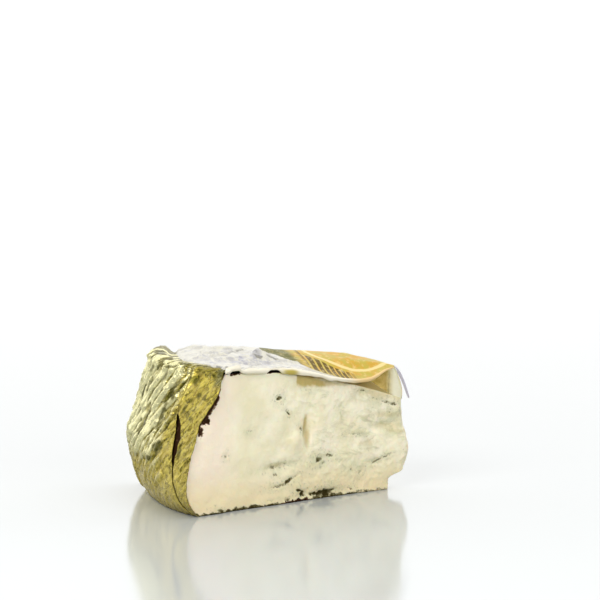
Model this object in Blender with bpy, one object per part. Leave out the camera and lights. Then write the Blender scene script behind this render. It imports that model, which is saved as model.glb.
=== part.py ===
# A wedge of soft blue cheese in its wrapping: the paste with its rind, the gold foil folded
# over the rind side, and the printed sheet lying over the top and lifting at the point.
# Metres, +Z up. The wedge's point is at +X, and it stands on its flat base at Z = 0.
# Each mesh is made about the wheel's axis, and its object stands on that axis.

import math

import bmesh
import bpy
from mathutils import Vector, noise

CM = 0.01
MM = 0.001

# The wedge is one eighth of a half wheel: a sector about the wheel's axis.
WHEEL_AXIS = Vector((7.74 * CM, 0.0, 0.0))
SECTOR = math.radians(45.0)
NEAR_ANGLE = math.pi + SECTOR / 2
FAR_ANGLE = math.pi - SECTOR / 2
PASTE_HEIGHT = 7.9 * CM

# The rind's outline in the near cut, where the soft paste has settled outwards, and away from it.
NEAR_RIND = {
    "belly": 16.00 * CM,
    "belly_z": 1.8 * CM,
    "lean": 2.85 * CM,
    "curve": 1.6,
    "toe": 0.90 * CM,
    "bend": 2.6,
}
FULL_RIND = {
    "belly": 15.80 * CM,
    "belly_z": 3.9 * CM,
    "lean": 1.50 * CM,
    "curve": 1.15,
    "toe": 1.00 * CM,
    "bend": 2.8,
}
FULL_RIND_FROM = 0.6

# The top of the paste sinks towards the point, most along the near cut.
SLUMP = 2.5 * CM
SLUMP_START = 13.0 * CM
SLUMP_CURVE = 1.9
SLUMP_KEPT_FAR = 0.2
SLUMP_FADE = 3.2 * CM
TOP_ROUGHNESS = 0.5 * MM

# The point swells at mid-height and is pulled away at the base.
TIP_REACH = 0.20 * CM
TIP_SWELL = 0.46 * CM
TIP_SWELL_Z = 2.45 * CM
TIP_SWELL_SPREAD = 1.2 * CM
TIP_NOTCH = 0.85 * CM
TIP_NOTCH_Z = (0.6 * CM, 1.1 * CM)
TIP_RADIUS = (0.30 * CM, 0.60 * CM)
TIP_SPREAD = 5.0

# Hollows and lumps of the cut faces: distance from the axis, height, spread both ways, and how far out.
NEAR_RELIEF = (
    (7.15 * CM, 4.0 * CM, 0.24 * CM, 0.85 * CM, -3.2 * MM),
    (8.00 * CM, 3.7 * CM, 0.55 * CM, 0.70 * CM, 1.6 * MM),
    (6.20 * CM, 4.2 * CM, 0.60 * CM, 1.10 * CM, 1.2 * MM),
    (9.10 * CM, 2.2 * CM, 0.95 * CM, 0.28 * CM, -1.6 * MM),
    (1.40 * CM, 3.9 * CM, 0.80 * CM, 0.35 * CM, -1.8 * MM),
    (1.90 * CM, 1.8 * CM, 0.90 * CM, 0.20 * CM, -1.3 * MM),
    (2.40 * CM, 3.0 * CM, 0.60 * CM, 0.30 * CM, -1.0 * MM),
    (7.40 * CM, 0.4 * CM, 0.40 * CM, 0.25 * CM, -1.8 * MM),
    (5.80 * CM, 0.3 * CM, 0.75 * CM, 0.22 * CM, -1.8 * MM),
    (3.00 * CM, 6.0 * CM, 0.45 * CM, 0.25 * CM, -1.6 * MM),
)
FAR_RELIEF = (
    (10.5 * CM, 3.2 * CM, 0.90 * CM, 0.40 * CM, -1.8 * MM),
    (8.00 * CM, 5.4 * CM, 0.50 * CM, 0.60 * CM, -1.4 * MM),
    (5.20 * CM, 2.6 * CM, 0.70 * CM, 0.35 * CM, -1.6 * MM),
    (3.00 * CM, 4.6 * CM, 0.40 * CM, 0.70 * CM, 1.4 * MM),
)
LUMPS = ((2.6 * CM, 1.1 * MM), (1.1 * CM, 0.5 * MM))
LUMPS_FADE = (6.0 * CM, 7.3 * CM)

# How finely the paste is cut up.
NEAR_STEPS, TIP_STEPS, FAR_STEPS, RIND_STEPS = 34, 7, 24, 22
WALL_ROWS = (0.0, 0.015, 0.045, 0.09, 0.15, 0.22, 0.30, 0.38, 0.46, 0.54, 0.62, 0.70, 0.78, 0.86, 0.94, 1.0)
TOP_RINGS = 6

# The foil: one sheet from the base up over the rim, with a flap lying on the top.
FOIL_THICKNESS = 0.5 * MM
FOIL_CLEARANCE = 0.8 * MM
FOIL_FAR_OVERHANG = 2.2 * MM
FLAP_TUCK = math.radians(0.7)
FOIL_BASE_Z = 0.5 * MM
FOIL_RIM_START = 2.0 * MM
FOIL_RIM_RISE = 3.2 * MM
FOIL_RIM_INSET = 3.0 * MM
FOIL_RIM_BULGE = (1.0 * MM, 2.0 * MM)
FOIL_FLAP = (5.6 * CM, 3.0 * CM)
FLAP_SETTLE = 0.18
FOIL_PUCKER = (0.9 * CM, 0.4 * MM)
FOIL_COLUMNS = (6, 32)
FOIL_SIDE_ROWS, FOIL_RIM_ROWS, FOIL_FLAP_ROWS = 18, 4, 7

# The crumpled folds of the foil's side, each a straight crest: degrees round from the near cut and
# height at its two ends, half width, and how far it stands out.
FOLDS = (
    (9.5, 7.8 * CM, 10.8, 5.6 * CM, 4.5 * MM, 1.0 * MM),
    (12.0, 4.8 * CM, 17.5, 3.1 * CM, 5.0 * MM, 1.0 * MM),
    (14.0, 7.3 * CM, 19.5, 6.2 * CM, 3.5 * MM, 1.2 * MM),
    (16.5, 8.1 * CM, 20.0, 5.3 * CM, 3.6 * MM, 2.2 * MM),
    (20.0, 5.3 * CM, 26.5, 2.8 * CM, 4.0 * MM, 2.4 * MM),
    (21.5, 7.4 * CM, 25.0, 5.9 * CM, 3.5 * MM, 1.7 * MM),
    (25.0, 5.9 * CM, 33.0, 4.4 * CM, 3.5 * MM, 1.9 * MM),
    (25.0, 8.2 * CM, 37.0, 6.7 * CM, 3.5 * MM, 1.5 * MM),
    (29.0, 5.0 * CM, 38.0, 3.0 * CM, 4.5 * MM, 1.5 * MM),
    (34.0, 8.0 * CM, 43.0, 5.6 * CM, 4.0 * MM, 1.5 * MM),
    (36.0, 5.3 * CM, 44.0, 3.0 * CM, 4.5 * MM, 1.6 * MM),
)

# How far the foil's near edge stands out over the cut at a height.
FOIL_EDGE = (
    (0.0 * CM, 1.5 * MM),
    (5.2 * CM, 1.2 * MM),
    (5.7 * CM, 3.8 * MM),
    (6.3 * CM, 6.0 * MM),
    (6.9 * CM, 5.8 * MM),
    (7.4 * CM, 3.2 * MM),
    (7.9 * CM, 1.8 * MM),
)

# The tear in the foil: height, degrees round from the near cut, and half its opening there.
TEAR = (
    (0.00 * CM, 1.0, 0.30 * MM),
    (0.45 * CM, 2.1, 0.30 * MM),
    (1.00 * CM, 3.0, 0.35 * MM),
    (1.60 * CM, 3.8, 0.35 * MM),
    (2.60 * CM, 4.8, 0.50 * MM),
    (3.20 * CM, 5.3, 1.00 * MM),
    (4.30 * CM, 5.6, 1.80 * MM),
    (5.20 * CM, 7.6, 1.10 * MM),
    (5.80 * CM, 9.3, 0.00 * MM),
)

# The printed sheet over the top: distance from the axis and height, along each of its long edges.
SHEET_THICKNESS = 0.5 * MM
SHEET_NEAR_EDGE = (
    (14.0 * CM, 8.46 * CM),
    (12.5 * CM, 8.16 * CM),
    (10.3 * CM, 7.99 * CM),
    (8.50 * CM, 7.86 * CM),
    (6.80 * CM, 7.48 * CM),
    (5.60 * CM, 7.14 * CM),
    (4.40 * CM, 6.92 * CM),
    (3.30 * CM, 6.82 * CM),
    (2.60 * CM, 6.88 * CM),
    (1.30 * CM, 7.20 * CM),
    (0.30 * CM, 7.32 * CM),
)
SHEET_FAR_EDGE = (
    (14.4 * CM, 8.50 * CM),
    (12.0 * CM, 8.36 * CM),
    (10.0 * CM, 8.32 * CM),
    (8.00 * CM, 8.24 * CM),
    (5.80 * CM, 8.14 * CM),
    (3.20 * CM, 8.02 * CM),
    (1.40 * CM, 7.62 * CM),
    (0.30 * CM, 7.32 * CM),
)
SHEET_RIM = (13.55 * CM, 14.15 * CM)
SHEET_RIM_REACH = 9.0 * MM
SHEET_TIP = 0.45 * CM
SHEET_TIP_REACH = -0.24 * CM
SHEET_OVERHANG = (1.2 * MM, 3.2 * MM)
SHEET_CLEARANCE = 1.0 * MM
SHEET_OVER_FLAP = 2.4 * MM
SHEET_WAVE = 0.6 * MM
SHEET_WAVE_LENGTH = 2.0 * CM
SHEET_PEAK = {"place": (-9.1 * CM, 0.0), "height": 2.4 * MM, "spread": 0.75 * CM}
SHEET_FOLD = {"across": 0.52, "spread": 0.16, "height": 1.3 * MM}
SHEET_ROWS = 36
SHEET_ACROSS = 13

# Its near edge rolls over as a lip, between these distances from the axis.
LIP_RANGE = (0.8 * CM, 3.0 * CM, 6.5 * CM, 9.0 * CM)
LIP_FREE = (9.5 * CM, 11.0 * CM)
LIP_DEPTH = (1.0 * MM, 2.6 * MM)
LIP_RIM = (11.3 * CM, 12.6 * CM)
LIP_ROLL = 0.35
LIP_ACROSS = 2

# Its far edge is folded down, deeper towards the point, and goes round it.
SKIRT_DEPTH = (2.5 * MM, 18.0 * MM)
SKIRT_FROM = 7.0 * CM
SKIRT_OFFSET = 2.0 * MM
SKIRT_FLARE = (1.2 * MM, 5.2 * MM)
SKIRT_CURVE = 0.6 * math.pi
SKIRT_ACROSS = 4
SKIRT_ROUND_TIP = 6

# A loose strip hangs from its end.
TAIL_AT = 5
TAIL_ROWS = 7
TAIL_LENGTH = 1.95 * CM
TAIL_REACH = 0.95 * CM
TAIL_WIDTH = 2.4 * MM


def smooth(low, high, value):
    """0 below low, 1 above high, and an even curve between."""
    share = min(1.0, max(0.0, (value - low) / (high - low)))
    return share * share * (3 - 2 * share)


def mix(a, b, share):
    return a + (b - a) * share


def table_value(rows, at, column=1):
    """Reads a column of a short table between its rows, which are sorted either way by their first value."""
    ordered = sorted(rows)
    if at <= ordered[0][0]:
        return ordered[0][column]
    for low, high in zip(ordered, ordered[1:]):
        if at <= high[0]:
            return mix(low[column], high[column], (at - low[0]) / (high[0] - low[0]))
    return ordered[-1][column]


def direction(angle):
    return Vector((math.cos(angle), math.sin(angle)))


def flat_noise(u, v, size, seed):
    return noise.noise(Vector((u / size, v / size, seed)))


NEAR_ALONG, FAR_ALONG = direction(NEAR_ANGLE), direction(FAR_ANGLE)
NEAR_OUT, FAR_OUT = direction(NEAR_ANGLE + math.pi / 2), direction(FAR_ANGLE - math.pi / 2)
CUTS = ((NEAR_ALONG, NEAR_OUT, NEAR_RELIEF, 3.0), (FAR_ALONG, FAR_OUT, FAR_RELIEF, 8.0))


def rind_outline(rind, z):
    if z < rind["belly_z"]:
        return rind["belly"] - rind["toe"] * (1 - z / rind["belly_z"]) ** rind["bend"]
    share = (z - rind["belly_z"]) / (PASTE_HEIGHT - rind["belly_z"])
    return rind["belly"] - rind["lean"] * share ** rind["curve"]


def rind_radius(share, z):
    """Distance of the rind from the wheel's axis: share is 0 at the near cut and 1 at the far one."""
    z = min(max(z, 0.0), PASTE_HEIGHT)
    blend = smooth(0.0, FULL_RIND_FROM, share)
    return mix(rind_outline(NEAR_RIND, z), rind_outline(FULL_RIND, z), blend)


def top_height(place):
    """Height of the paste's top at a place."""
    along = place.dot(NEAR_ALONG)
    inward = max(0.0, -place.dot(NEAR_OUT))
    sunk = SLUMP * max(0.0, 1 - along / SLUMP_START) ** SLUMP_CURVE
    kept = 1 - (1 - SLUMP_KEPT_FAR) * smooth(0.0, SLUMP_FADE, inward)
    return PASTE_HEIGHT - sunk * kept


def relief(hills, r, z, seed):
    """How far a cut face stands out of its plane."""
    out = sum(size * flat_noise(r, z, length, seed) for length, size in LUMPS)
    out *= 1 - smooth(*LUMPS_FADE, z)
    for at_r, at_z, spread_r, spread_z, height in hills:
        out += height * math.exp(-(((r - at_r) / spread_r) ** 2) - ((z - at_z) / spread_z) ** 2)
    return out


def tip_circle(z):
    """Centre and radius of the point's rounding at a height."""
    reach = TIP_REACH + TIP_SWELL * math.exp(-(((z - TIP_SWELL_Z) / TIP_SWELL_SPREAD) ** 2))
    reach -= TIP_NOTCH * (1 - smooth(*TIP_NOTCH_Z, z))
    radius = mix(*TIP_RADIUS, smooth(*TIP_NOTCH_Z, z))
    return Vector((reach - radius, 0.0)), radius


def cut_place(side, share, z):
    """A place on a cut face: share is 0 at the rind and 1 where the rounding of the point begins."""
    along, out, hills, seed = CUTS[side]
    centre, radius = tip_circle(z)
    r = mix(rind_radius(side, z), centre.dot(along), share)
    swollen = (centre.dot(out) + radius) * share**TIP_SPREAD
    return along * r + out * (swollen + relief(hills, r, z, seed))


def wall_place(segment, share, z):
    """A place on the paste's wall at a height: the near cut, the point, the far cut or the rind."""
    if segment == "near":
        return cut_place(0, share, z)
    if segment == "far":
        return cut_place(1, 1 - share, z)
    if segment == "tip":
        centre, radius = tip_circle(z)
        turn = mix(NEAR_ANGLE + math.pi / 2, FAR_ANGLE + math.pi * 3 / 2, share)
        return centre + direction(turn) * radius
    return direction(mix(FAR_ANGLE, NEAR_ANGLE, share)) * rind_radius(1 - share, z)


def outline_stations():
    """The (segment, share) pairs once round the wall."""
    stations = [("near", k / NEAR_STEPS) for k in range(NEAR_STEPS + 1)]
    stations += [("tip", k / TIP_STEPS) for k in range(1, TIP_STEPS)]
    stations += [("far", k / FAR_STEPS) for k in range(FAR_STEPS + 1)]
    stations += [("rind", k / RIND_STEPS) for k in range(1, RIND_STEPS)]
    return stations


def new_object(name, mesh, colour, roughness, metallic):
    """An object on the wheel's axis, with its own material."""
    material = bpy.data.materials.new(name)
    material.use_nodes = True
    shader = material.node_tree.nodes["Principled BSDF"]
    shader.inputs["Base Color"].default_value = (*colour, 1.0)
    shader.inputs["Roughness"].default_value = roughness
    shader.inputs["Metallic"].default_value = metallic
    material.diffuse_color = (*colour, 1.0)
    mesh.materials.append(material)
    made = bpy.data.objects.new(name, mesh)
    made.location = WHEEL_AXIS
    bpy.context.scene.collection.objects.link(made)
    return made


def ring_faces(bm, lower, upper):
    """Triangles between two closed rings with as many points each."""
    for k in range(len(lower)):
        after = (k + 1) % len(lower)
        bm.faces.new((lower[k], lower[after], upper[after]))
        bm.faces.new((lower[k], upper[after], upper[k]))


def fan(bm, ring, centre):
    for k in range(len(ring)):
        bm.faces.new((ring[k], ring[(k + 1) % len(ring)], centre))


def make_cheese():
    """The paste: a wall of rows from the base to the top, closed by the base and by rings on the top."""
    bm = bmesh.new()
    stations = outline_stations()
    edges = [top_height(wall_place(*station, PASTE_HEIGHT)) for station in stations]
    rings = []
    for row in WALL_ROWS:
        heights = [row * edge for edge in edges]
        places = [wall_place(*station, z) for station, z in zip(stations, heights)]
        rings.append([bm.verts.new((*p, z)) for p, z in zip(places, heights)])
    rim = [Vector(v.co[:2]) for v in rings[-1]]
    middle = sum(rim, Vector((0.0, 0.0))) / len(rim)
    for k in range(1, TOP_RINGS):
        places = [p.lerp(middle, k / TOP_RINGS) for p in rim]
        rough = [TOP_ROUGHNESS * flat_noise(*p, SHEET_WAVE_LENGTH, 5.0) for p in places]
        rings.append([bm.verts.new((*p, top_height(p) + up)) for p, up in zip(places, rough)])
    for lower, upper in zip(rings, rings[1:]):
        ring_faces(bm, lower, upper)
    fan(bm, rings[-1], bm.verts.new((*middle, top_height(middle))))
    fan(bm, rings[0][::-1], bm.verts.new((*middle, 0.0)))
    mesh = bpy.data.meshes.new("cheese")
    bm.to_mesh(mesh)
    bm.free()
    mesh.shade_smooth()
    mesh.set_sharp_from_angle(angle=math.radians(40))
    return new_object("cheese", mesh, (0.80, 0.74, 0.56), 0.5, 0.0)


def sheet_quad(bm, a, b, c, d):
    """Two triangles for one cell, split along its shorter diagonal."""
    if (a.co - c.co).length <= (b.co - d.co).length:
        bm.faces.new((a, b, c))
        bm.faces.new((a, c, d))
    else:
        bm.faces.new((a, b, d))
        bm.faces.new((b, c, d))


def quad_strips(bm, rows):
    """Cells between the neighbours of a list of rows of vertices."""
    for low, high in zip(rows, rows[1:]):
        for k in range(len(low) - 1):
            sheet_quad(bm, low[k], low[k + 1], high[k + 1], high[k])


def thin_solid(name, bm, thickness, colour, roughness, metallic):
    """A sheet of triangles made into a closed thin solid."""
    bmesh.ops.recalc_face_normals(bm, faces=bm.faces)
    mesh = bpy.data.meshes.new(name)
    bm.to_mesh(mesh)
    bm.free()
    mesh.shade_smooth()
    made = new_object(name, mesh, colour, roughness, metallic)
    wall = made.modifiers.new("wall", "SOLIDIFY")
    wall.thickness = thickness
    wall.offset = 0.0
    wall.use_rim = True
    return made


def tear_angle(z, side):
    """Where an edge of the foil's tear runs at a height: side is -1 for its near edge and 1 for the other."""
    opening = table_value(TEAR, z, 2) / NEAR_RIND["belly"]
    return NEAR_ANGLE - math.radians(table_value(TEAR, z)) - side * opening


def fold_height(arc, z):
    """Height of the foil's crumpling at a distance round the rind and a height."""
    spot = Vector((arc, z))
    height = 0.0
    for start_turn, start_z, end_turn, end_z, width, rise in FOLDS:
        start = Vector((math.radians(start_turn) * NEAR_RIND["belly"], start_z))
        run = Vector((math.radians(end_turn) * NEAR_RIND["belly"], end_z)) - start
        share = min(1.0, max(0.0, (spot - start).dot(run) / run.length_squared))
        away = (spot - start - run * share).length
        height = max(height, rise * math.exp(-((away / width) ** 2)))
    size, depth = FOIL_PUCKER
    return height + depth * (1 + flat_noise(arc, z, size, 2.0))


def flap_depth(share):
    return mix(*FOIL_FLAP, smooth(0.0, 0.5, share))


def foil_place(angle, row):
    """A point of the foil: row runs up the side (0 to 1), over the rim (to 2) and in over the top (to 3)."""
    share = min(1.0, max(0.0, (NEAR_ANGLE - angle) / SECTOR))
    arc = (NEAR_ANGLE - angle) * NEAR_RIND["belly"]
    rim = rind_radius(share, PASTE_HEIGHT)
    edge = top_height(direction(angle) * rim)
    bulge = mix(*FOIL_RIM_BULGE, smooth(0.0, 0.5, share))
    if row <= 1:
        z = mix(FOIL_BASE_Z, edge - FOIL_RIM_START, row)
        lifted = smooth(0.0, 0.08, row) * fold_height(arc, z) + bulge * smooth(0.55, 1.0, row)
        return Vector((*direction(angle) * (rind_radius(share, z) + FOIL_CLEARANCE + lifted), z))
    inner = rim - FOIL_RIM_INSET
    if row <= 2:
        turn = (row - 1) * math.pi / 2
        start = edge - FOIL_RIM_START
        outer = rind_radius(share, start) + FOIL_CLEARANCE + bulge + fold_height(arc, start)
        rise = FOIL_RIM_RISE + FOIL_RIM_START
        return Vector((*direction(angle) * mix(inner, outer, math.cos(turn)), start + rise * math.sin(turn)))
    place = direction(angle) * mix(inner, rim - flap_depth(share), row - 2)
    size, depth = FOIL_PUCKER
    lying = FOIL_CLEARANCE + depth * (1 + flat_noise(*place, size, 4.0))
    risen = mix(FOIL_RIM_RISE, lying, smooth(0.0, FLAP_SETTLE, row - 2))
    return Vector((*place, top_height(place) + risen))


def make_foil():
    """The gold foil: a front strip and the rest, joined above the tear."""
    bm = bmesh.new()
    far_edge = FAR_ANGLE - FOIL_FAR_OVERHANG / FULL_RIND["belly"]
    tear_top = max(TEAR)[0]
    strip, rest = FOIL_COLUMNS
    rows = [k / FOIL_SIDE_ROWS for k in range(FOIL_SIDE_ROWS)]
    rows += [1 + k / FOIL_RIM_ROWS for k in range(FOIL_RIM_ROWS)]
    rows += [2 + k / FOIL_FLAP_ROWS for k in range(FOIL_FLAP_ROWS + 1)]
    near_rows, far_rows = [], []
    for row in rows:
        z = min(row, 1.0) * (PASTE_HEIGHT - FOIL_RIM_START)
        overhang = table_value(FOIL_EDGE, z) / NEAR_RIND["belly"]
        near_edge = NEAR_ANGLE + mix(overhang, -FLAP_TUCK, smooth(2.0, 2.3, row))
        near = [mix(near_edge, tear_angle(z, -1), k / strip) for k in range(strip + 1)]
        far = [mix(tear_angle(z, 1), far_edge, k / rest) for k in range(rest + 1)]
        near_rows.append([bm.verts.new(foil_place(angle, row)) for angle in near])
        shared = [] if z < tear_top else near_rows[-1][-1:]
        own = far[len(shared) :]
        far_rows.append(shared + [bm.verts.new(foil_place(angle, row)) for angle in own])
    quad_strips(bm, near_rows)
    quad_strips(bm, far_rows)
    return thin_solid("foil", bm, FOIL_THICKNESS, (0.62, 0.52, 0.20), 0.35, 0.9)


def lip_share(r):
    """0 where the sheet's near edge lies close to the paste, 1 where it hangs over as a rolled lip."""
    low, full, still, high = LIP_RANGE
    return smooth(low, full, r) * (1 - smooth(still, high, r))


def swell_beside(r):
    """How far the upper part of a cut face has swollen out beside the point."""
    share = max(0.0, 1 - r / rind_outline(FULL_RIND, PASTE_HEIGHT))
    return TIP_RADIUS[1] * share**TIP_SPREAD * smooth(0.5 * CM, 3.0 * CM, r)


def least_clearance(place, r, share):
    """How far the sheet stays above the paste: more over the foil's flap, and most over its rim."""
    rim = rind_radius(share, PASTE_HEIGHT)
    if r > rim - SHEET_RIM_REACH:
        return FOIL_RIM_RISE + SHEET_CLEARANCE
    past_flap = place.length < rim - flap_depth(share) - SHEET_RIM_REACH / 2
    return SHEET_CLEARANCE if past_flap else SHEET_OVER_FLAP


def sheet_place(row, across):
    """A point of the sheet: row is 0 at the rim and 1 at the point, across 0 at the near edge and 1 at the far."""
    r = mix(mix(*SHEET_RIM, smooth(0.0, 0.5, across)), SHEET_TIP, row)
    near = NEAR_ALONG * r + NEAR_OUT * (mix(*SHEET_OVERHANG, lip_share(r)) + swell_beside(r))
    far = FAR_ALONG * r + FAR_OUT * (SKIRT_OFFSET + swell_beside(r))
    middle = Vector((SHEET_TIP_REACH + SHEET_TIP - r, 0.0))
    place = near.lerp(far, across) + (middle - near.lerp(far, 0.5)) * 4 * across * (1 - across)
    z = mix(table_value(SHEET_NEAR_EDGE, r), table_value(SHEET_FAR_EDGE, r), smooth(-0.15, 1.0, across))
    fold = math.exp(-(((across - SHEET_FOLD["across"]) / SHEET_FOLD["spread"]) ** 2))
    z += SHEET_FOLD["height"] * fold * smooth(0.3 * CM, 2.0 * CM, r) * (1 - smooth(4.0 * CM, 7.5 * CM, r))
    z += SHEET_WAVE * (0.25 + math.sin(math.pi * across)) * flat_noise(*place, SHEET_WAVE_LENGTH, 6.0)
    away = (place - Vector(SHEET_PEAK["place"])).length / SHEET_PEAK["spread"]
    z += SHEET_PEAK["height"] * max(0.0, 1 - away)
    lowest = top_height(place) + least_clearance(place, r, across)
    held = max(smooth(-1.0 * MM, 1.0 * MM, -place.dot(NEAR_OUT)), smooth(*LIP_FREE, r))
    return Vector((*place, mix(z, max(z, lowest), held)))


def lip_place(row, share):
    """A point of the near edge's lip: share is 0 on the sheet and 1 at the lip's lower edge."""
    top = sheet_place(row, 0.0)
    r = top.xy.dot(NEAR_ALONG)
    depth = mix(*LIP_DEPTH, lip_share(r)) * (1 - 0.7 * smooth(*LIP_RIM, r))
    return top + Vector((*(NEAR_OUT * depth * LIP_ROLL * share), -depth * share))


def skirt_place(top, outward, share):
    """A point of the fold that hangs below a point of the far edge or of the end's edge."""
    near_tip = 1 - smooth(0.0, SKIRT_FROM, top.xy.length)
    flare = mix(*SKIRT_FLARE, near_tip) * math.sin(SKIRT_CURVE * share)
    return top + Vector((*(outward * flare), -mix(*SKIRT_DEPTH, near_tip) * share))


def tail_pair(first, last, share):
    """The two edges of the loose strip at a share of its length, below an edge of the sheet's end."""
    top = first.lerp(last, 0.5)
    width = (last - first).normalized() * TAIL_WIDTH * (1 - 0.6 * share)
    hung = top + Vector((TAIL_REACH * share**0.8, 0.0, -TAIL_LENGTH * share**1.2))
    return hung - width / 2, hung + width / 2


def make_sheet():
    """The printed sheet with its rolled lip, the fold behind it and round the point, and the loose strip."""
    bm = bmesh.new()
    grid, lip = [], []
    for j in range(SHEET_ROWS + 1):
        row = j / SHEET_ROWS
        grid.append([bm.verts.new(sheet_place(row, k / SHEET_ACROSS)) for k in range(SHEET_ACROSS + 1)])
        hanging = [bm.verts.new(lip_place(row, k / LIP_ACROSS)) for k in range(LIP_ACROSS, 0, -1)]
        lip.append(hanging + grid[-1][:1])
    quad_strips(bm, grid)
    quad_strips(bm, lip)
    end = grid[-1]
    centre = (end[0].co + end[-1].co) / 2
    edge = [(line[-1], FAR_OUT) for line in grid[:-1]]
    for vert in end[: SHEET_ACROSS - SKIRT_ROUND_TIP - 1 : -1]:
        edge.append((vert, (vert.co - centre).xy.normalized()))
    skirt = [[top for top, _ in edge]]
    for k in range(1, SKIRT_ACROSS + 1):
        share = k / SKIRT_ACROSS
        skirt.append([bm.verts.new(skirt_place(top.co, outward, share)) for top, outward in edge])
    quad_strips(bm, skirt)
    tail = [(end[TAIL_AT - 1], end[TAIL_AT])]
    first, last = (vert.co.copy() for vert in tail[0])
    for k in range(1, TAIL_ROWS + 1):
        tail.append([bm.verts.new(p) for p in tail_pair(first, last, k / TAIL_ROWS)])
    quad_strips(bm, tail)
    return thin_solid("sheet", bm, SHEET_THICKNESS, (0.88, 0.86, 0.80), 0.4, 0.2)


def main():
    for old in list(bpy.data.objects):
        bpy.data.objects.remove(old)
    make_cheese()
    make_foil()
    make_sheet()


main()
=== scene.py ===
# A wedge of blue cheese in its foil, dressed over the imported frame: the cut paste with its
# mould, the crumpled gold foil round the rind side and the printed sheet over the top.
import math

import bpy
import numpy as np
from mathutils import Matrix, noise


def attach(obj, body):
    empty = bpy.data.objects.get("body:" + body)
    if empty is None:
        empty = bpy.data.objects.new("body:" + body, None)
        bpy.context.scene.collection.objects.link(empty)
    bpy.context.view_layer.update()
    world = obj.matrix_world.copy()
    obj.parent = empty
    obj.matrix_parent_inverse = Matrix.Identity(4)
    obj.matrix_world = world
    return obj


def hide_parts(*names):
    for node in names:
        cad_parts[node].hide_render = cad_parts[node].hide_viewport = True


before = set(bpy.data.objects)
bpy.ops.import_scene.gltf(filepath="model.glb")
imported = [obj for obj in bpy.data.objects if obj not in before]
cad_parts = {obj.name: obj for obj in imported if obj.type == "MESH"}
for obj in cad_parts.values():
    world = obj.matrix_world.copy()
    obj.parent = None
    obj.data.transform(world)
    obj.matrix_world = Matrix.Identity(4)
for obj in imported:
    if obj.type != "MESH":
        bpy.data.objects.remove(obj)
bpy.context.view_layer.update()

cm = 0.01
mm = 0.001

# the wheel that the wedge is cut from: its axis stands on the frame's X, near the wedge's point
wheel = {
    "axisX": 7.74 * cm,
    "sector": math.radians(45),
    "height": 7.9 * cm,
    "nearRind": {
        "belly": 16.0 * cm, "bellyZ": 1.8 * cm, "lean": 2.85 * cm, "curve": 1.6,
        "toe": 0.9 * cm, "bend": 2.6,
    },
    "fullRind": {
        "belly": 15.8 * cm, "bellyZ": 3.9 * cm, "lean": 1.5 * cm, "curve": 0.95,
        "toe": 1.0 * cm, "bend": 2.8,
    },
    "fullFrom": 0.6,
    "slump": 2.5 * cm,
    "slumpStart": 13.0 * cm,
    "slumpCurve": 1.9,
    "slumpKeptFar": 0.2,
    "slumpFade": 3.2 * cm,
}
nearAngle = math.pi + wheel["sector"] / 2
farAngle = math.pi - wheel["sector"] / 2


def smooth(low, high, value):
    share = np.clip((value - low) / (high - low), 0, 1)
    return share * share * (3 - 2 * share)


def mix(a, b, share):
    return a + (b - a) * share


def readTable(rows, at, column=1):
    ordered = sorted(rows)
    return np.interp(at, [row[0] for row in ordered], [row[column] for row in ordered])


def heading(angle):
    return np.stack([np.cos(angle), np.sin(angle)], -1)


def hills(points, size, seed):
    # soft noise from -1 to 1, with a rise about every two sizes
    shifted = np.asarray(points) / size + (0, 0, seed)
    values = [noise.noise(p) for p in shifted.reshape(-1, 3).tolist()]
    return np.array(values).reshape(shifted.shape[:-1])


def flatHills(u, v, size, seed):
    return hills(np.stack([u, v, np.zeros_like(u)], -1), size, seed)


nearAlong = heading(nearAngle)
farAlong = heading(farAngle)
nearOut = heading(nearAngle + math.pi / 2)
farOut = heading(farAngle - math.pi / 2)


def rindOutline(rind, z):
    low = np.clip(1 - z / rind["bellyZ"], 0, 1)
    high = np.clip((z - rind["bellyZ"]) / (wheel["height"] - rind["bellyZ"]), 0, 1)
    return rind["belly"] - rind["toe"] * low ** rind["bend"] - rind["lean"] * high ** rind["curve"]


def rindRadius(share, z):
    # share runs from 0 at the near cut to 1 at the far one
    blend = smooth(0.0, wheel["fullFrom"], share)
    return mix(rindOutline(wheel["nearRind"], z), rindOutline(wheel["fullRind"], z), blend)


def topHeight(place):
    along = place @ nearAlong
    inward = np.maximum(0, -(place @ nearOut))
    sunk = wheel["slump"] * np.maximum(0, 1 - along / wheel["slumpStart"]) ** wheel["slumpCurve"]
    spared = (1 - wheel["slumpKeptFar"]) * smooth(0.0, wheel["slumpFade"], inward)
    return wheel["height"] - sunk * (1 - spared)


# short ways to build meshes and node trees
def gridFaces(ids):
    corners = (ids[:-1, :-1], ids[1:, :-1], ids[1:, 1:], ids[:-1, 1:])
    return np.stack([corner.ravel() for corner in corners], -1)


def numbered(grid, start=0):
    # a number for each point of a grid, counted on from start
    return np.arange(start, start + grid[..., 0].size).reshape(grid.shape[:2])


def addObject(name, data):
    made = bpy.data.objects.new(name, data)
    bpy.context.scene.collection.objects.link(made)
    return made


def makePiece(name, points, faces, fields):
    # points stand about the wheel's axis; only those that a face uses are kept
    used = np.unique(np.concatenate([np.ravel(group) for group in faces]))
    renamed = np.zeros(len(points), int)
    renamed[used] = np.arange(len(used))
    placed = points[used] + (wheel["axisX"], 0, 0)
    mesh = bpy.data.meshes.new(name)
    mesh.from_pydata(placed.tolist(), [], [row for group in faces for row in renamed[group].tolist()])
    for key, values in fields.items():
        values = np.asarray(values, np.float32)[used]
        kind, slot = ("FLOAT", "value") if values.ndim == 1 else ("FLOAT_VECTOR", "vector")
        mesh.attributes.new(key, kind, "POINT").data.foreach_set(slot, values.ravel())
    mesh.shade_smooth()
    return addObject(name, mesh)


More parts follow.
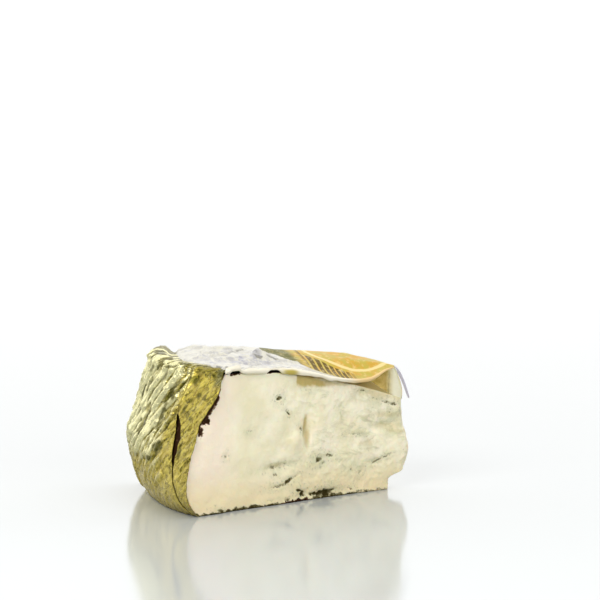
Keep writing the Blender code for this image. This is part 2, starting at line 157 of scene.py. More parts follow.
def tone(red, green, blue):
    # a colour as the eye reads it, 0 to 255, made linear
    values = [part / 255 for part in (red, green, blue)]
    return (*[v / 12.92 if v < 0.04045 else ((v + 0.055) / 1.055) ** 2.4 for v in values], 1.0)


def setInputs(tree, node, inputs):
    for name, value in inputs.items():
        if isinstance(value, bpy.types.NodeSocket):
            tree.links.new(value, node.inputs[name])
        else:
            node.inputs[name].default_value = value


def addNode(tree, kind, inputs=None, **settings):
    made = tree.nodes.new(kind)
    for name, value in settings.items():
        setattr(made, name, value)
    setInputs(tree, made, inputs or {})
    return made


def calc(tree, operation, *values):
    return addNode(tree, "ShaderNodeMath", dict(enumerate(values)), operation=operation).outputs[0]


def times(tree, first, second):
    return calc(tree, "MULTIPLY", first, second)


def plus(tree, first, second):
    return calc(tree, "ADD", first, second)


def less(tree, first, second):
    return calc(tree, "SUBTRACT", first, second)


def scaled(tree, value, factor, base):
    return calc(tree, "MULTIPLY_ADD", value, factor, base)


def creased(tree, value):
    # zero along the lines where a noise passes its middle
    return calc(tree, "ABSOLUTE", less(tree, value, 0.5))


def vectorCalc(tree, operation, *values):
    made = addNode(tree, "ShaderNodeVectorMath", dict(enumerate(values)), operation=operation)
    return made.outputs["Value" if operation in ("LENGTH", "DOT_PRODUCT") else "Vector"]


def scaleVector(tree, vector, scale):
    inputs = {0: vector, "Scale": scale}
    return addNode(tree, "ShaderNodeVectorMath", inputs, operation="SCALE").outputs[0]


def between(tree, value, low, high):
    inputs = {"Value": value, "From Min": low, "From Max": high}
    return addNode(tree, "ShaderNodeMapRange", inputs, interpolation_type="SMOOTHSTEP").outputs["Result"]


def blendColours(tree, share, first, second):
    inputs = {0: share, 6: first, 7: second}
    return addNode(tree, "ShaderNodeMix", inputs, data_type="RGBA").outputs[2]


def layer(tree, colour, tint, share, strength):
    # lays a tint over a colour where share says, as strongly as strength says
    return blendColours(tree, times(tree, share, strength), colour, tint)


def noiseOf(tree, place, perMetre, detail=2.0, rough=0.5, warp=0.0):
    inputs = {"Vector": place, "Scale": perMetre, "Detail": detail, "Roughness": rough, "Distortion": warp}
    return addNode(tree, "ShaderNodeTexNoise", inputs).outputs[0]


def cellsOf(tree, place, perMetre, feature="F1"):
    return addNode(tree, "ShaderNodeTexVoronoi", {"Vector": place, "Scale": perMetre}, feature=feature)


def fieldOf(tree, name, output="Fac"):
    return addNode(tree, "ShaderNodeAttribute", attribute_name=name).outputs[output]


def storedField(tree, name, kind="FLOAT"):
    return addNode(tree, "GeometryNodeInputNamedAttribute", {"Name": name}, data_type=kind).outputs[0]


def newMaterial(name):
    material = bpy.data.materials.new(name)
    material.use_nodes = True
    tree = material.node_tree
    return material, tree, tree.nodes["Principled BSDF"]


def objectPlace(tree):
    return addNode(tree, "ShaderNodeTexCoord").outputs["Object"]


def setShader(tree, shader, **values):
    setInputs(tree, shader, {name.replace("_", " "): value for name, value in values.items()})


def bumpOf(tree, height, distance, strength=1.0, normal=None):
    inputs = {"Height": height, "Distance": distance, "Strength": strength}
    if normal is not None:
        inputs["Normal"] = normal
    return addNode(tree, "ShaderNodeBump", inputs).outputs[0]


def newTree(name, inputs):
    tree = bpy.data.node_groups.new(name, "GeometryNodeTree")
    tree.interface.new_socket("Geometry", in_out="INPUT", socket_type="NodeSocketGeometry")
    for label, start in inputs.items():
        tree.interface.new_socket(label, in_out="INPUT", socket_type="NodeSocketFloat").default_value = start
    tree.interface.new_socket("Material", in_out="INPUT", socket_type="NodeSocketMaterial")
    tree.interface.new_socket("Geometry", in_out="OUTPUT", socket_type="NodeSocketGeometry")
    return tree, tree.nodes.new("NodeGroupInput"), tree.nodes.new("NodeGroupOutput")


def finishTree(tree, start, end, shape):
    real = addNode(tree, "GeometryNodeRealizeInstances", {0: shape}).outputs[0]
    inputs = {"Geometry": real, "Material": start.outputs["Material"]}
    tree.links.new(addNode(tree, "GeometryNodeSetMaterial", inputs).outputs[0], end.inputs[0])


def applyTree(piece, tree, values):
    # runs the tree on the piece once and keeps the result as its plain mesh
    modifier = piece.modifiers.new(tree.name, "NODES")
    modifier.node_group = tree
    for item in tree.interface.items_tree:
        if item.in_out == "INPUT" and item.name in values:
            modifier[item.identifier] = values[item.name]
    graph = bpy.context.evaluated_depsgraph_get()
    mesh = bpy.data.meshes.new_from_object(
        piece.evaluated_get(graph), preserve_all_data_layers=True, depsgraph=graph
    )
    piece.modifiers.remove(modifier)
    piece.data = mesh
    mesh.name = piece.name
    mesh.shade_smooth()


def addWall(piece, thickness, offset, inside=0):
    wall = piece.modifiers.new("wall", "SOLIDIFY")
    wall.thickness = thickness
    wall.offset = offset
    wall.material_offset = inside


# camera and studio
studio = {
    "cameraPlace": (-0.45635, -1.45431, 0.27),
    "cameraTilt": math.radians(5.8),
    "cameraTurn": math.radians(-18.0),
    "lens": 156.6,
    "floorWidth": 60.0,
    "floorTone": (0.46, 0.48, 0.475, 1.0),
    "floorRoughness": 0.12,
    "frontGlow": 0.15,
    "backGlow": 1.5,
    "key": {"place": (-0.85, -0.70, 0.78), "size": (0.8, 0.5), "power": 12.0},
    "fill": {"place": (0.35, -1.10, 0.50), "size": (0.9, 0.6), "power": 7.2},
}


def makeCamera():
    lens = bpy.data.cameras.new("camera")
    lens.lens = studio["lens"]
    lens.sensor_width = 36.0
    lens.clip_end = 100.0
    camera = addObject("camera", lens)
    camera.location = studio["cameraPlace"]
    camera.rotation_euler = (math.pi / 2 - studio["cameraTilt"], 0.0, studio["cameraTurn"])
    bpy.context.scene.camera = camera


def makeWorld():
    world = bpy.data.worlds.new("studio")
    world.use_nodes = True
    bpy.context.scene.world = world
    tree = world.node_tree
    back = tree.nodes["Background"]
    ray = addNode(tree, "ShaderNodeTexCoord").outputs["Generated"]
    ahead = (math.sin(-studio["cameraTurn"]), math.cos(studio["cameraTurn"]), 0.15)
    towardsBack = between(tree, vectorCalc(tree, "DOT_PRODUCT", ray, ahead), -0.35, 0.45)
    inputs = {0: towardsBack, 2: studio["frontGlow"], 3: studio["backGlow"]}
    glow = addNode(tree, "ShaderNodeMix", inputs).outputs[0]
    seen = addNode(tree, "ShaderNodeLightPath").outputs["Is Camera Ray"]
    setInputs(tree, back, {"Strength": calc(tree, "MAXIMUM", glow, seen), "Color": (1.0, 1.0, 1.0, 1.0)})


def makeLight(name):
    lamp = bpy.data.lights.new(name, "AREA")
    lamp.shape = "RECTANGLE"
    lamp.size, lamp.size_y = studio[name]["size"]
    lamp.energy = studio[name]["power"]
    light = addObject(name, lamp)
    light.location = studio[name]["place"]
    away = np.array(studio[name]["place"]) - (0, 0, wheel["height"] / 2)
    flat = math.hypot(away[0], away[1])
    light.rotation_euler = (math.atan2(flat, away[2]), 0.0, math.atan2(away[0], -away[1]))


def makeFloor():
    half = studio["floorWidth"] / 2
    mesh = bpy.data.meshes.new("floor")
    corners = [(-half, -half, 0), (half, -half, 0), (half, half, 0), (-half, half, 0)]
    mesh.from_pydata(corners, [], [(0, 1, 2, 3)])
    floor = addObject("floor", mesh)
    material, tree, shader = newMaterial("glossyWhite")
    setShader(tree, shader, Base_Color=studio["floorTone"], Roughness=studio["floorRoughness"], IOR=1.5)
    mesh.materials.append(material)


makeCamera()
makeWorld()
makeFloor()
makeLight("key")
makeLight("fill")
bpy.context.scene.view_settings.view_transform = "Standard"
print("studio ready")

# the paste: its shape, then how many patterns of each kind stand in a metre
paste = {
    "tipReach": 0.20 * cm,
    "tipSwell": 0.46 * cm,
    "tipSwellZ": 2.45 * cm,
    "tipSwellSpread": 1.2 * cm,
    "tipNotch": 0.85 * cm,
    "tipNotchZ": (0.6 * cm, 1.1 * cm),
    "tipRadius": (0.46 * cm, 0.60 * cm),
    "tipRounding": (0.2 * cm, 1.8 * cm),
    "tipSpread": 5.0,
    "notchSpread": 30.0,
    "lumps": ((2.6 * cm, 1.1 * mm), (1.1 * cm, 0.5 * mm)),
    "lumpsFade": (6.0 * cm, 7.3 * cm),
    "steps": {"near": 290, "tip": 18, "far": 150, "rind": 40},
    "rows": 140,
    "topRings": 22,
    "topHills": (2 * cm, 0.5 * mm),
    "crumbliness": ((5.5 * mm, 0.46 * mm), (2.4 * mm, 0.24 * mm), (1.2 * mm, 0.10 * mm)),
    "smoothFrom": (7.5 * cm, 10.5 * cm),
    "pitDepth": 0.55 * mm,
    "footRound": 0.6 * mm,
    "footLine": (0.6 * mm, 2.5 * mm),
    "footRagged": 1.6 * mm,
    "footFade": (1.5 * cm, 5.5 * cm),
    "footBrown": (8.0 * cm, 1.1 * cm),
    "warmBelow": (0.5 * cm, 2.6 * cm),
    "blushFrom": (12.2 * cm, 14.6 * cm),
    "lipShadow": (6.7, 7.96, 7.86),
    "topRindAndShade": (7.5 * cm, 9.5 * cm),
    "topPaintedShade": (5.6 * cm, 4.6 * cm),
    "broadPatches": 45.0,
    "streaks": 100.0,
    "veilPatches": 160.0,
    "threads": 260.0,
    "grains": 420.0,
    "specks": 650.0,
    "fineGrains": 1500.0,
    "dents": (900.0, 330.0),
}
# hollows and lumps of each cut: distance from the axis, height and spread both ways (cm),
# how far out (mm)
nearRelief = (
    (7.15, 4.0, 0.24, 0.85, -3.2), (8.00, 3.7, 0.55, 0.70, 1.6), (6.20, 4.2, 0.60, 1.10, 1.2),
    (9.10, 2.2, 0.95, 0.28, -1.6), (1.40, 3.9, 0.80, 0.35, -1.8), (1.90, 1.8, 0.90, 0.20, -1.3),
    (2.40, 3.0, 0.60, 0.30, -1.0), (7.40, 0.4, 0.40, 0.25, -1.8), (5.80, 0.3, 0.75, 0.22, -1.8),
    (3.00, 6.0, 0.45, 0.25, -1.6),
)
farRelief = (
    (10.5, 3.2, 0.90, 0.40, -1.8), (8.00, 5.4, 0.50, 0.60, -1.4), (5.20, 2.6, 0.70, 0.35, -1.6),
    (3.00, 4.6, 0.40, 0.70, 1.4),
)
cuts = ((nearAlong, nearOut, nearRelief, 3.0), (farAlong, farOut, farRelief, 8.0))
tipTurn = (nearAngle + math.pi / 2, farAngle + math.pi * 3 / 2)


def reliefOf(hollows, r, z, seed):
    out = sum(size * flatHills(r, z, length, seed) for length, size in paste["lumps"])
    out = out * (1 - smooth(*paste["lumpsFade"], z))
    for atR, atZ, spreadR, spreadZ, height in hollows:
        away = ((r / cm - atR) / spreadR) ** 2 + ((z / cm - atZ) / spreadZ) ** 2
        out = out + height * mm * np.exp(-away)
    return out


def tipCircle(z, notched=1.0):
    swell = np.exp(-(((z - paste["tipSwellZ"]) / paste["tipSwellSpread"]) ** 2))
    notch = notched * (1 - smooth(*paste["tipNotchZ"], z))
    reach = paste["tipReach"] + paste["tipSwell"] * swell - paste["tipNotch"] * notch
    radius = mix(*paste["tipRadius"], smooth(*paste["tipRounding"], z))
    return reach - radius, radius


def cutPlace(side, share, z):
    # share runs from 0 at the rind to 1 where the point's rounding begins
    along, out, hollows, seed = cuts[side]
    centre, radius = tipCircle(z, share ** paste["notchSpread"])
    r = mix(rindRadius(side, z), centre * along[0], share)
    swollen = (centre * out[0] + radius) * share ** paste["tipSpread"]
    stand = swollen + reliefOf(hollows, r, z, seed)
    return r[..., None] * along + stand[..., None] * out


def wallPlace(segment, share, z):
    share = np.broadcast_to(share, z.shape)
    if segment == "near":
        return cutPlace(0, share, z)
    if segment == "far":
        return cutPlace(1, 1 - share, z)
    if segment == "tip":
        centre, radius = tipCircle(z)
        return np.stack([centre, 0 * centre], -1) + radius[..., None] * heading(mix(*tipTurn, share))
    return rindRadius(1 - share, z)[..., None] * heading(mix(farAngle, nearAngle, share))


def wallOut(segment, share, z):
    if segment in ("near", "far"):
        return np.broadcast_to(nearOut if segment == "near" else farOut, (*z.shape, 2))
    ends = tipTurn if segment == "tip" else (farAngle, nearAngle)
    return heading(np.broadcast_to(mix(*ends, share), z.shape))


def wallStations():
    # the ends of the tip and of the rind belong to the cuts
    stations = []
    for segment, steps in paste["steps"].items():
        share = np.linspace(0, 1, steps + 1)
        stations.append((segment, share if segment in ("near", "far") else share[1:-1]))
    return stations


# mould, veins, rind and painted shade of the near cut, placed by distance from the axis and height (cm):
# r, z, half length, half width, tilt (degrees), strength
mouldMarks = (
    (9.20, 6.20, 0.19, 0.13, 20, 1.1), (8.60, 5.30, 0.20, 0.07, -35, 0.8),
    (13.20, 3.25, 0.13, 0.10, 60, 0.7), (11.40, 4.50, 0.22, 0.06, 5, 0.4),
    (10.15, 5.10, 0.16, 0.07, 10, 0.3), (7.20, 6.50, 0.14, 0.07, -20, 0.6),
    (7.58, 4.25, 0.18, 0.09, -40, 0.8), (6.30, 2.35, 0.28, 0.18, 20, 1.0),
    (5.50, 2.50, 0.30, 0.11, -15, 0.9), (5.95, 2.10, 0.16, 0.07, 0, 0.5),
    (2.85, 6.10, 0.22, 0.06, -8, 0.9), (2.50, 6.36, 0.55, 0.08, -12, 0.5),
    (9.60, 2.20, 0.60, 0.10, 3, 0.6), (8.90, 2.32, 0.30, 0.07, 0, 0.5),
    (9.50, 1.75, 0.18, 0.10, -15, 0.7), (8.55, 1.30, 0.30, 0.11, 24, 1.2),
    (9.20, 1.10, 0.55, 0.10, 4, 0.75), (8.05, 1.50, 0.40, 0.07, 18, 0.6),
    (7.75, 0.66, 0.32, 0.10, -12, 1.2), (7.42, 0.42, 0.20, 0.16, -50, 1.3),
    (6.55, 0.34, 0.36, 0.11, 0, 1.2), (6.05, 0.32, 0.36, 0.18, 0, 1.4), (5.65, 0.30, 0.38, 0.22, -8, 1.4),
    (5.25, 0.42, 0.34, 0.09, 5, 1.2), (5.15, 0.16, 0.18, 0.05, 0, 0.7), (3.75, 0.33, 0.17, 0.12, 0, 0.7),
    (3.15, 1.22, 0.16, 0.12, 50, 0.75), (3.80, 1.50, 0.18, 0.06, 80, 0.45),
    (1.62, 1.90, 0.66, 0.07, 22, 0.7), (1.15, 2.12, 0.22, 0.09, 10, 0.6),
    (3.60, 3.58, 0.40, 0.07, -6, 0.6), (6.75, 1.90, 0.05, 0.30, 0, 0.3),
    (1.35, 5.32, 0.30, 0.10, -10, 0.75), (0.90, 5.15, 0.34, 0.12, -10, 0.75),
    (0.85, 0.60, 0.10, 0.14, 0, 0.5), (13.60, 0.16, 0.26, 0.09, -12, 0.9),
    (8.70, 0.22, 0.26, 0.08, 0, 0.9), (4.95, 4.05, 0.18, 0.05, 0, 0.25),
    (4.35, 5.40, 0.06, 0.25, 10, 0.25), (1.70, 1.00, 0.10, 0.10, 0, 0.3),
    (7.05, 0.62, 0.10, 0.05, 0, 0.4), (9.95, 0.30, 0.20, 0.05, 0, 0.5), (12.00, 0.14, 0.30, 0.05, 0, 0.6),
    (2.20, 5.60, 0.30, 0.08, -14, 0.35), (0.35, 4.55, 0.10, 0.30, 0, 0.4),
    (1.30, 4.70, 0.40, 0.06, -8, 0.4),
)
veilMarks = (
    (1.30, 4.00, 1.10, 0.30, 0, 0.7), (2.00, 5.20, 0.80, 0.30, -10, 0.6),
    (3.80, 1.60, 0.80, 0.40, 0, 0.4), (1.10, 4.60, 1.50, 0.70, 0, 0.75),
    (1.50, 3.50, 1.10, 0.40, -6, 0.55), (2.40, 2.80, 0.90, 0.45, 0, 0.5),
    (2.90, 5.70, 1.10, 0.40, -10, 0.55), (9.10, 2.20, 1.30, 0.40, 0, 0.6),
    (6.00, 2.30, 0.90, 0.45, 0, 0.45), (8.20, 5.40, 1.00, 0.90, 30, 0.25),
    (11.30, 4.40, 0.80, 0.40, 0, 0.3), (7.80, 6.90, 1.30, 0.40, 0, 0.25),
    (3.60, 3.60, 1.10, 0.50, 0, 0.35), (9.20, 1.10, 1.20, 0.35, 4, 0.45),
    (4.60, 5.20, 0.60, 0.70, 0, 0.35), (1.90, 1.80, 1.10, 0.30, -20, 0.4),
    (8.90, 4.00, 0.60, 0.70, 0, 0.25), (5.00, 4.10, 0.40, 0.30, 0, 0.3),
)
# painted shade, tinted ochre: the shaded side of the groove, the band under the sheet's lip and hollows
paintedShadeMarks = (
    (7.15, 4.45, 0.13, 0.62, 0, 0.85), (7.04, 3.75, 0.14, 0.60, -4, 0.7),
    (7.35, 7.10, 0.85, 0.36, -10, 1.5), (6.50, 6.92, 0.85, 0.24, -14, 1.2),
    (5.60, 6.76, 0.70, 0.16, -8, 0.7), (4.60, 6.62, 0.60, 0.10, -6, 0.5),
    (1.30, 4.55, 0.80, 0.16, -6, 0.35), (1.20, 3.85, 0.95, 0.22, -8, 0.25),
    (1.70, 5.90, 1.60, 0.30, -12, 0.45), (8.60, 3.55, 0.25, 0.20, 0, 0.2),
    (2.60, 2.95, 0.60, 0.18, 0, 0.3), (9.50, 2.30, 0.70, 0.16, 0, 0.4),
    (0.60, 3.50, 0.50, 0.10, -8, 0.35),
)
# dark rind and mould beside the foil and along the top edge, darkened further as painted shade where the
# foil and the sheet overhang
crustAndShadeMarks = (
    (13.88, 6.45, 0.16, 0.34, -30, 1.0), (14.48, 5.80, 0.22, 0.50, -34, 1.0),
    (14.70, 5.36, 0.44, 0.20, 0, 1.0), (15.02, 4.80, 0.22, 0.36, 20, 0.85),
    (13.66, 7.00, 0.10, 0.40, -16, 1.0), (14.20, 6.14, 0.12, 0.34, -34, 1.0),
    (15.30, 4.35, 0.12, 0.30, 20, 0.5), (12.50, 7.86, 0.40, 0.08, 0, 1.0),
    (9.70, 7.80, 0.55, 0.10, 4, 1.0), (13.60, 7.86, 0.30, 0.06, 0, 0.7),
)


def markStrength(marks, r, z, ragged, grown=1.0):
    # the strongest of several soft-edged, ragged spots
    strength = np.zeros_like(r)
    for atR, atZ, length, width, tilt, power in marks:
        turn = math.radians(tilt)
        along = (r - atR) * math.cos(turn) - (z - atZ) * math.sin(turn)
        across = (r - atR) * math.sin(turn) + (z - atZ) * math.cos(turn)
        away = np.sqrt((along / length) ** 2 + (across / width) ** 2) / grown + ragged
        strength = np.maximum(strength, power * (1 - smooth(0.45, 1.5, away)))
    return strength


def scatterMarks(seed, count, sizes, powers):
    # marks for the far cut, gathered about a few places
    draw = np.random.default_rng(seed)
    made = []
    for _ in range(count):
        atR, atZ = farClusters[draw.integers(len(farClusters))]
        length = draw.uniform(*sizes)
        atR, atZ = atR + draw.normal(0, 1.0), np.clip(atZ + draw.normal(0, 0.6), 0.1, 7.4)
        width = length * draw.uniform(0.25, 0.6)
        made.append((atR, atZ, length, width, draw.normal(0, 22), draw.uniform(*powers)))
    return made


farClusters = (
    (10.5, 3.1), (8.0, 5.2), (5.0, 2.4), (3.0, 4.8), (12.2, 5.0), (7.0, 0.6), (2.0, 1.6), (5.8, 6.2),
)
farMould = scatterMarks(11, 46, (0.10, 0.34), (0.4, 1.0))
farVeil = scatterMarks(12, 18, (0.7, 1.6), (0.25, 0.65))
# painted ochre shade about the far cut's hollows
farPaintedShade = scatterMarks(13, 9, (0.3, 1.0), (0.2, 0.5))


def pasteFields(points, onFar):
    r = np.hypot(points[..., 0], points[..., 1]) / cm
    z = points[..., 2] / cm
    ragged = 0.42 * hills(points, 1.6 * mm, 21.0) + 0.30 * hills(points, 4.0 * mm, 22.0)
    fields = {}
    for name, near, far, rag, grown in (
        ("mould", mouldMarks, farMould, ragged, 1.0),
        ("veil", veilMarks, farVeil, ragged * 1.2, 1.0),
        ("paintedOchreShade", paintedShadeMarks, farPaintedShade, ragged * 0.5, 1.0),
        ("crustAndShade", crustAndShadeMarks, (), ragged * 0.8, 1.0),
        ("halo", mouldMarks, farMould, ragged, 3.2),
    ):
        sides = [markStrength(marks, r, z, rag, grown) for marks in (far, near)]
        fields[name] = np.where(onFar, *sides)
    # the painted shadow under the sheet's lip ends at once where the sheet lies close again
    above, gone, full = paste["lipShadow"]
    ended = fields["paintedOchreShade"] * smooth(gone, full, r)
    fields["paintedOchreShade"] = np.where(onFar | (z < above), fields["paintedOchreShade"], ended)
    fields["marbled"] = 1 - 0.8 * smooth(4.5, 9.0, r)
    return fields


def footLine(points, r):
    # the ragged dark line along the foot, weaker towards the point
    ragged = hills(points, 3.0 * mm, 41.0) + 0.6 * hills(points, 1.2 * mm, 42.0)
    strong = 0.55 + 0.45 * smooth(*paste["footFade"], r)
    return 1.3 * (1 - smooth(*paste["footLine"], points[..., 2] + ragged * paste["footRagged"])) * strong


def pasteTop(edge):
    # rings that close the top from its edge inwards
    middle = edge[:, :2].mean(0)
    size, height = paste["topHills"]
    rings = []
    for share in np.linspace(0, 1, paste["topRings"] + 1)[1:-1]:
        place = mix(edge[:, :2], middle, share)
        lifted = topHeight(place) + height * flatHills(place[:, 0], place[:, 1], size, 5.0)
        rings.append(np.concatenate([place, lifted[:, None]], -1))
    return np.stack(rings), [[*middle, topHeight(middle)], [*middle, 0.0]]


def makePaste():
    rowShare = np.linspace(0, 1, paste["rows"] + 1)[:, None]
    wall, outward, side = [], [], []
    for number, (segment, share) in enumerate(wallStations()):
        z = rowShare * topHeight(wallPlace(segment, share, np.full(len(share), wheel["height"])))
        wall.append(np.concatenate([wallPlace(segment, share, z), z[..., None]], -1))
        outward.append(wallOut(segment, share, z))
        side.append(np.full(z.shape, number))
    wall, outward, side = (np.concatenate(group, 1) for group in (wall, outward, side))
    onFar = (side == 2) | ((side == 1) & (wall[..., 1] > 0.0))
    onCut = side < 3
    fields = pasteFields(wall, onFar)
    r = np.hypot(wall[..., 0], wall[..., 1])
    z = wall[..., 2]
    # the paste crumbles towards the point and is smooth towards the rind
    rough = 0.35 + 0.65 * (1 - smooth(*paste["smoothFrom"], r))
    stand = sum(size * hills(wall, length, 31.0) for length, size in paste["crumbliness"]) * rough
    stand = stand - paste["pitDepth"] * np.maximum(fields["mould"], fields["crustAndShade"]) * onCut
    rounded = paste["footRound"] * np.clip(1 - z / paste["footRound"], 0, 1) ** 2
    stand = stand * smooth(1.0, 0.985, rowShare) - rounded
    wall[..., :2] += outward * stand[..., None]
    wall[0, :, 2] = 0.0
    # the foot line is mould, but for a short brown length
    foot = footLine(wall, r)
    at, wide = paste["footBrown"]
    brown = np.exp(-(((r - at) / wide) ** 4))
    warm = 1 - smooth(*paste["warmBelow"], z - 0.04 * (r - at))
    fields["mould"] = np.where(onCut, np.maximum(fields["mould"], foot * (0.95 - 0.6 * brown)), 0.0)
    # the rind side is dark crust all over; seen through the tear, its darkness is painted shade as well
    fields["crustAndShade"] = np.where(onCut, np.maximum(fields["crustAndShade"], foot * brown), 1.0)
    fields["warm"] = np.where(onCut, warm, 0.0)
    fields["blush"] = np.where(onCut, smooth(*paste["blushFrom"], r + 0.12 * z), 0.0)
    top, ends = pasteTop(wall[-1])
    points = np.concatenate([wall.reshape(-1, 3), top.reshape(-1, 3), ends])
    # the top has the dark rind at its back, whose darkness is also painted shade under the sheet, and
    # painted shade with a painted gold reflection at its front
    reach = np.hypot(*points[z.size :, :2].T)
    lying = {"crustAndShade": smooth(*paste["topRindAndShade"], reach), "paintedOchreShade": 0.9 * smooth(*paste["topPaintedShade"], reach)}
    for name in fields:
        fields[name] = np.concatenate([fields[name].ravel(), lying.get(name, 0 * reach)])
    ids = np.arange(len(points) - 2).reshape(-1, wall.shape[1])
    ring = np.concatenate([ids, ids[:, :1]], 1)
    faces = [gridFaces(ring)[:, ::-1]]
    summit, base = len(points) - 2, len(points) - 1
    for first, then, end in ((ring[-1, :-1], ring[-1, 1:], summit), (ring[0, 1:], ring[0, :-1], base)):
        faces.append(np.stack([first, then, np.full(len(first), end)], -1))
    return makePiece("pasteWedge", points, faces, fields)


pasteTones = {
    "pale": tone(241, 234, 208),
    "middle": tone(229, 221, 187),
    "blush": tone(240, 225, 204),
    "warm": tone(230, 214, 172),
    "veil": tone(198, 196, 160),
    "streak": tone(184, 181, 140),
    "paintedOchreShade": tone(188, 168, 102),
    "mould": tone(108, 102, 70),
    "mouldDeep": tone(56, 48, 16),
    "crustAndShade": tone(44, 24, 4),
    "crustLight": tone(120, 92, 74),
}


def pasteMaterial():
    material, tree, shader = newMaterial("bluePaste")
    place = objectPlace(tree)
    broad = between(tree, noiseOf(tree, place, paste["broadPatches"], 3.0, 0.55), 0.35, 0.68)
    colour = blendColours(tree, broad, pasteTones["pale"], pasteTones["middle"])
    # thin level streaks, closest together towards the point
    squeezed = vectorCalc(tree, "MULTIPLY", place, (1.0, 1.0, 2.0))
    streaks = between(tree, noiseOf(tree, squeezed, paste["streaks"], 5.0, 0.62, 0.6), 0.50, 0.70)
    streaks = times(tree, streaks, fieldOf(tree, "marbled"))
    colour = layer(tree, colour, pasteTones["streak"], streaks, 0.65)
    patchy = between(tree, noiseOf(tree, place, paste["veilPatches"], 4.0, 0.65, 0.6), 0.32, 0.62)
    # the painted ochre shade under the lip and in hollows is laid on here with the blush, warm colour and
    # veils
    for name, share in (("blush", 0.9), ("warm", 0.85), ("veil", 0.85), ("paintedOchreShade", 0.95)):
        field = fieldOf(tree, name)
        if name == "veil":
            field = times(tree, field, patchy)
        colour = layer(tree, colour, pasteTones[name], field, share)
    # fine blue-green threads that follow the veils
    threads = between(tree, noiseOf(tree, place, paste["threads"], 4.0, 0.7, 1.2), 0.60, 0.68)
    threads = times(tree, threads, fieldOf(tree, "veil"))
    colour = layer(tree, colour, pasteTones["mould"], threads, 0.35)
    # a grey-green halo about each spot, with loose specks in it
    halo = fieldOf(tree, "halo")
    colour = layer(tree, colour, pasteTones["veil"], halo, 0.35)
    specks = between(tree, noiseOf(tree, place, paste["specks"], 3.0, 0.7), 0.56, 0.66)
    specks = times(tree, specks, between(tree, halo, 0.15, 0.6))
    colour = layer(tree, colour, pasteTones["mould"], specks, 0.4)
    # the spots themselves, frayed by the grain of the paste
    grains = noiseOf(tree, place, paste["grains"], 3.0, 0.6)
    fine = noiseOf(tree, place, paste["fineGrains"], 3.0, 0.7)
    frayed = plus(tree, times(tree, less(tree, grains, 0.5), 1.6), less(tree, fine, 0.5))
    stained = 0.0
    # the crust's darkness along the foil's edge and the top edge is partly painted shade
    for name, low, high, light, dark in (
        ("mould", 0.3, 1.0, "mould", "mouldDeep"),
        ("crustAndShade", 0.35, 0.6, "crustLight", "crustAndShade"),
    ):
        field = fieldOf(tree, name)
        edged = plus(tree, field, frayed)
        cover = times(tree, between(tree, edged, low, high), between(tree, field, 0.02, 0.25))
        inner = between(tree, edged, high - 0.2, high + 0.3)
        colour = blendColours(
            tree, cover, colour, blendColours(tree, inner, pasteTones[light], pasteTones[dark])
        )
        stained = calc(tree, "MAXIMUM", stained, cover)
    small, large = paste["dents"]
    normal = bumpOf(tree, noiseOf(tree, place, small, 3.0, 0.6), 0.25 * mm, 0.5)
    normal = bumpOf(tree, noiseOf(tree, place, large, 3.0, 0.6), 0.5 * mm, 0.35, normal)
    moist = scaled(tree, stained, 0.3, plus(tree, 0.36, times(tree, grains, 0.3)))
    # light goes less deep into the mould and the crust
    deep = scaled(tree, stained, -0.33, 0.35)
    glossy = scaled(tree, stained, -0.35, 0.45)
    setShader(
        tree, shader, Base_Color=colour, Roughness=moist, Normal=normal, Subsurface_Weight=deep,
        Subsurface_Radius=(1.0, 0.55, 0.25), Subsurface_Scale=2.2 * mm, Specular_IOR_Level=glossy,
    )
    return material


pasteBlue = pasteMaterial()
wedge = makePaste()
wedge.data.materials.append(pasteBlue)
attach(wedge, "root")
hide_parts("cheese")
print("paste made,", len(wedge.data.polygons), "faces")

# the gold foil round the rind side: its shape, then how many patterns of each kind stand in a metre
foil = {
    "clearance": 0.8 * mm,
    "thickness": 0.22 * mm,
    "farOverhang": 2.2 * mm,
    "flapTuck": math.radians(0.7),
    "footZ": 0.5 * mm,
    "rimStart": 2.0 * mm,
    "rimRise": (3.2 * mm, 4.4 * mm),
    "rimSquare": 0.62,
    "rimInset": 3.0 * mm,
    "rimBulge": (1.0 * mm, 2.0 * mm),
    "flap": (5.6 * cm, 3.0 * cm),
    "flapSettle": 0.18,
    "pucker": (0.9 * cm, 0.4 * mm),
    "edgeRagged": (2.2 * mm, 0.35 * mm),
    "columns": (46, 176),
    "rows": (132, 14, 16),
    "creaseLean": -0.72,
    "grain": 400.0,
    "blotches": 130.0,
    "crinkles": 330.0,
    "pleats": 640.0,
    "dots": 620.0,
}
# the big crumpled folds: degrees round from the near cut and height (cm) at both ends,
# half width and rise (mm)
bigFolds = (
    (9.0, 8.2, 10.5, 5.8, 2.8, 1.3), (12.0, 8.6, 18.5, 5.6, 2.8, 2.3), (14.5, 8.6, 23.5, 5.0, 2.6, 1.9),
    (11.5, 6.5, 21.0, 3.9, 2.8, 2.2), (18.5, 8.0, 29.0, 4.6, 2.8, 2.2), (15.5, 4.9, 24.5, 2.9, 2.6, 1.7),
    (23.0, 8.4, 35.0, 5.0, 3.0, 2.1), (23.5, 5.4, 32.5, 3.1, 3.0, 2.0), (29.0, 8.4, 42.0, 5.4, 3.0, 2.0),
    (31.5, 5.4, 41.0, 2.8, 3.2, 1.8), (37.0, 8.0, 44.5, 6.0, 3.0, 1.8), (11.0, 4.2, 17.5, 2.4, 3.0, 1.1),
)
# how far the foil stands past the near cut, by height
foilEdge = (
    (0.0 * cm, 1.5 * mm), (4.3 * cm, 1.6 * mm), (5.1 * cm, -0.6 * mm), (5.6 * cm, 1.4 * mm),
    (6.2 * cm, 3.9 * mm), (6.7 * cm, 5.2 * mm), (7.1 * cm, 5.0 * mm), (7.5 * cm, 2.2 * mm),
    (7.9 * cm, 1.6 * mm),
)
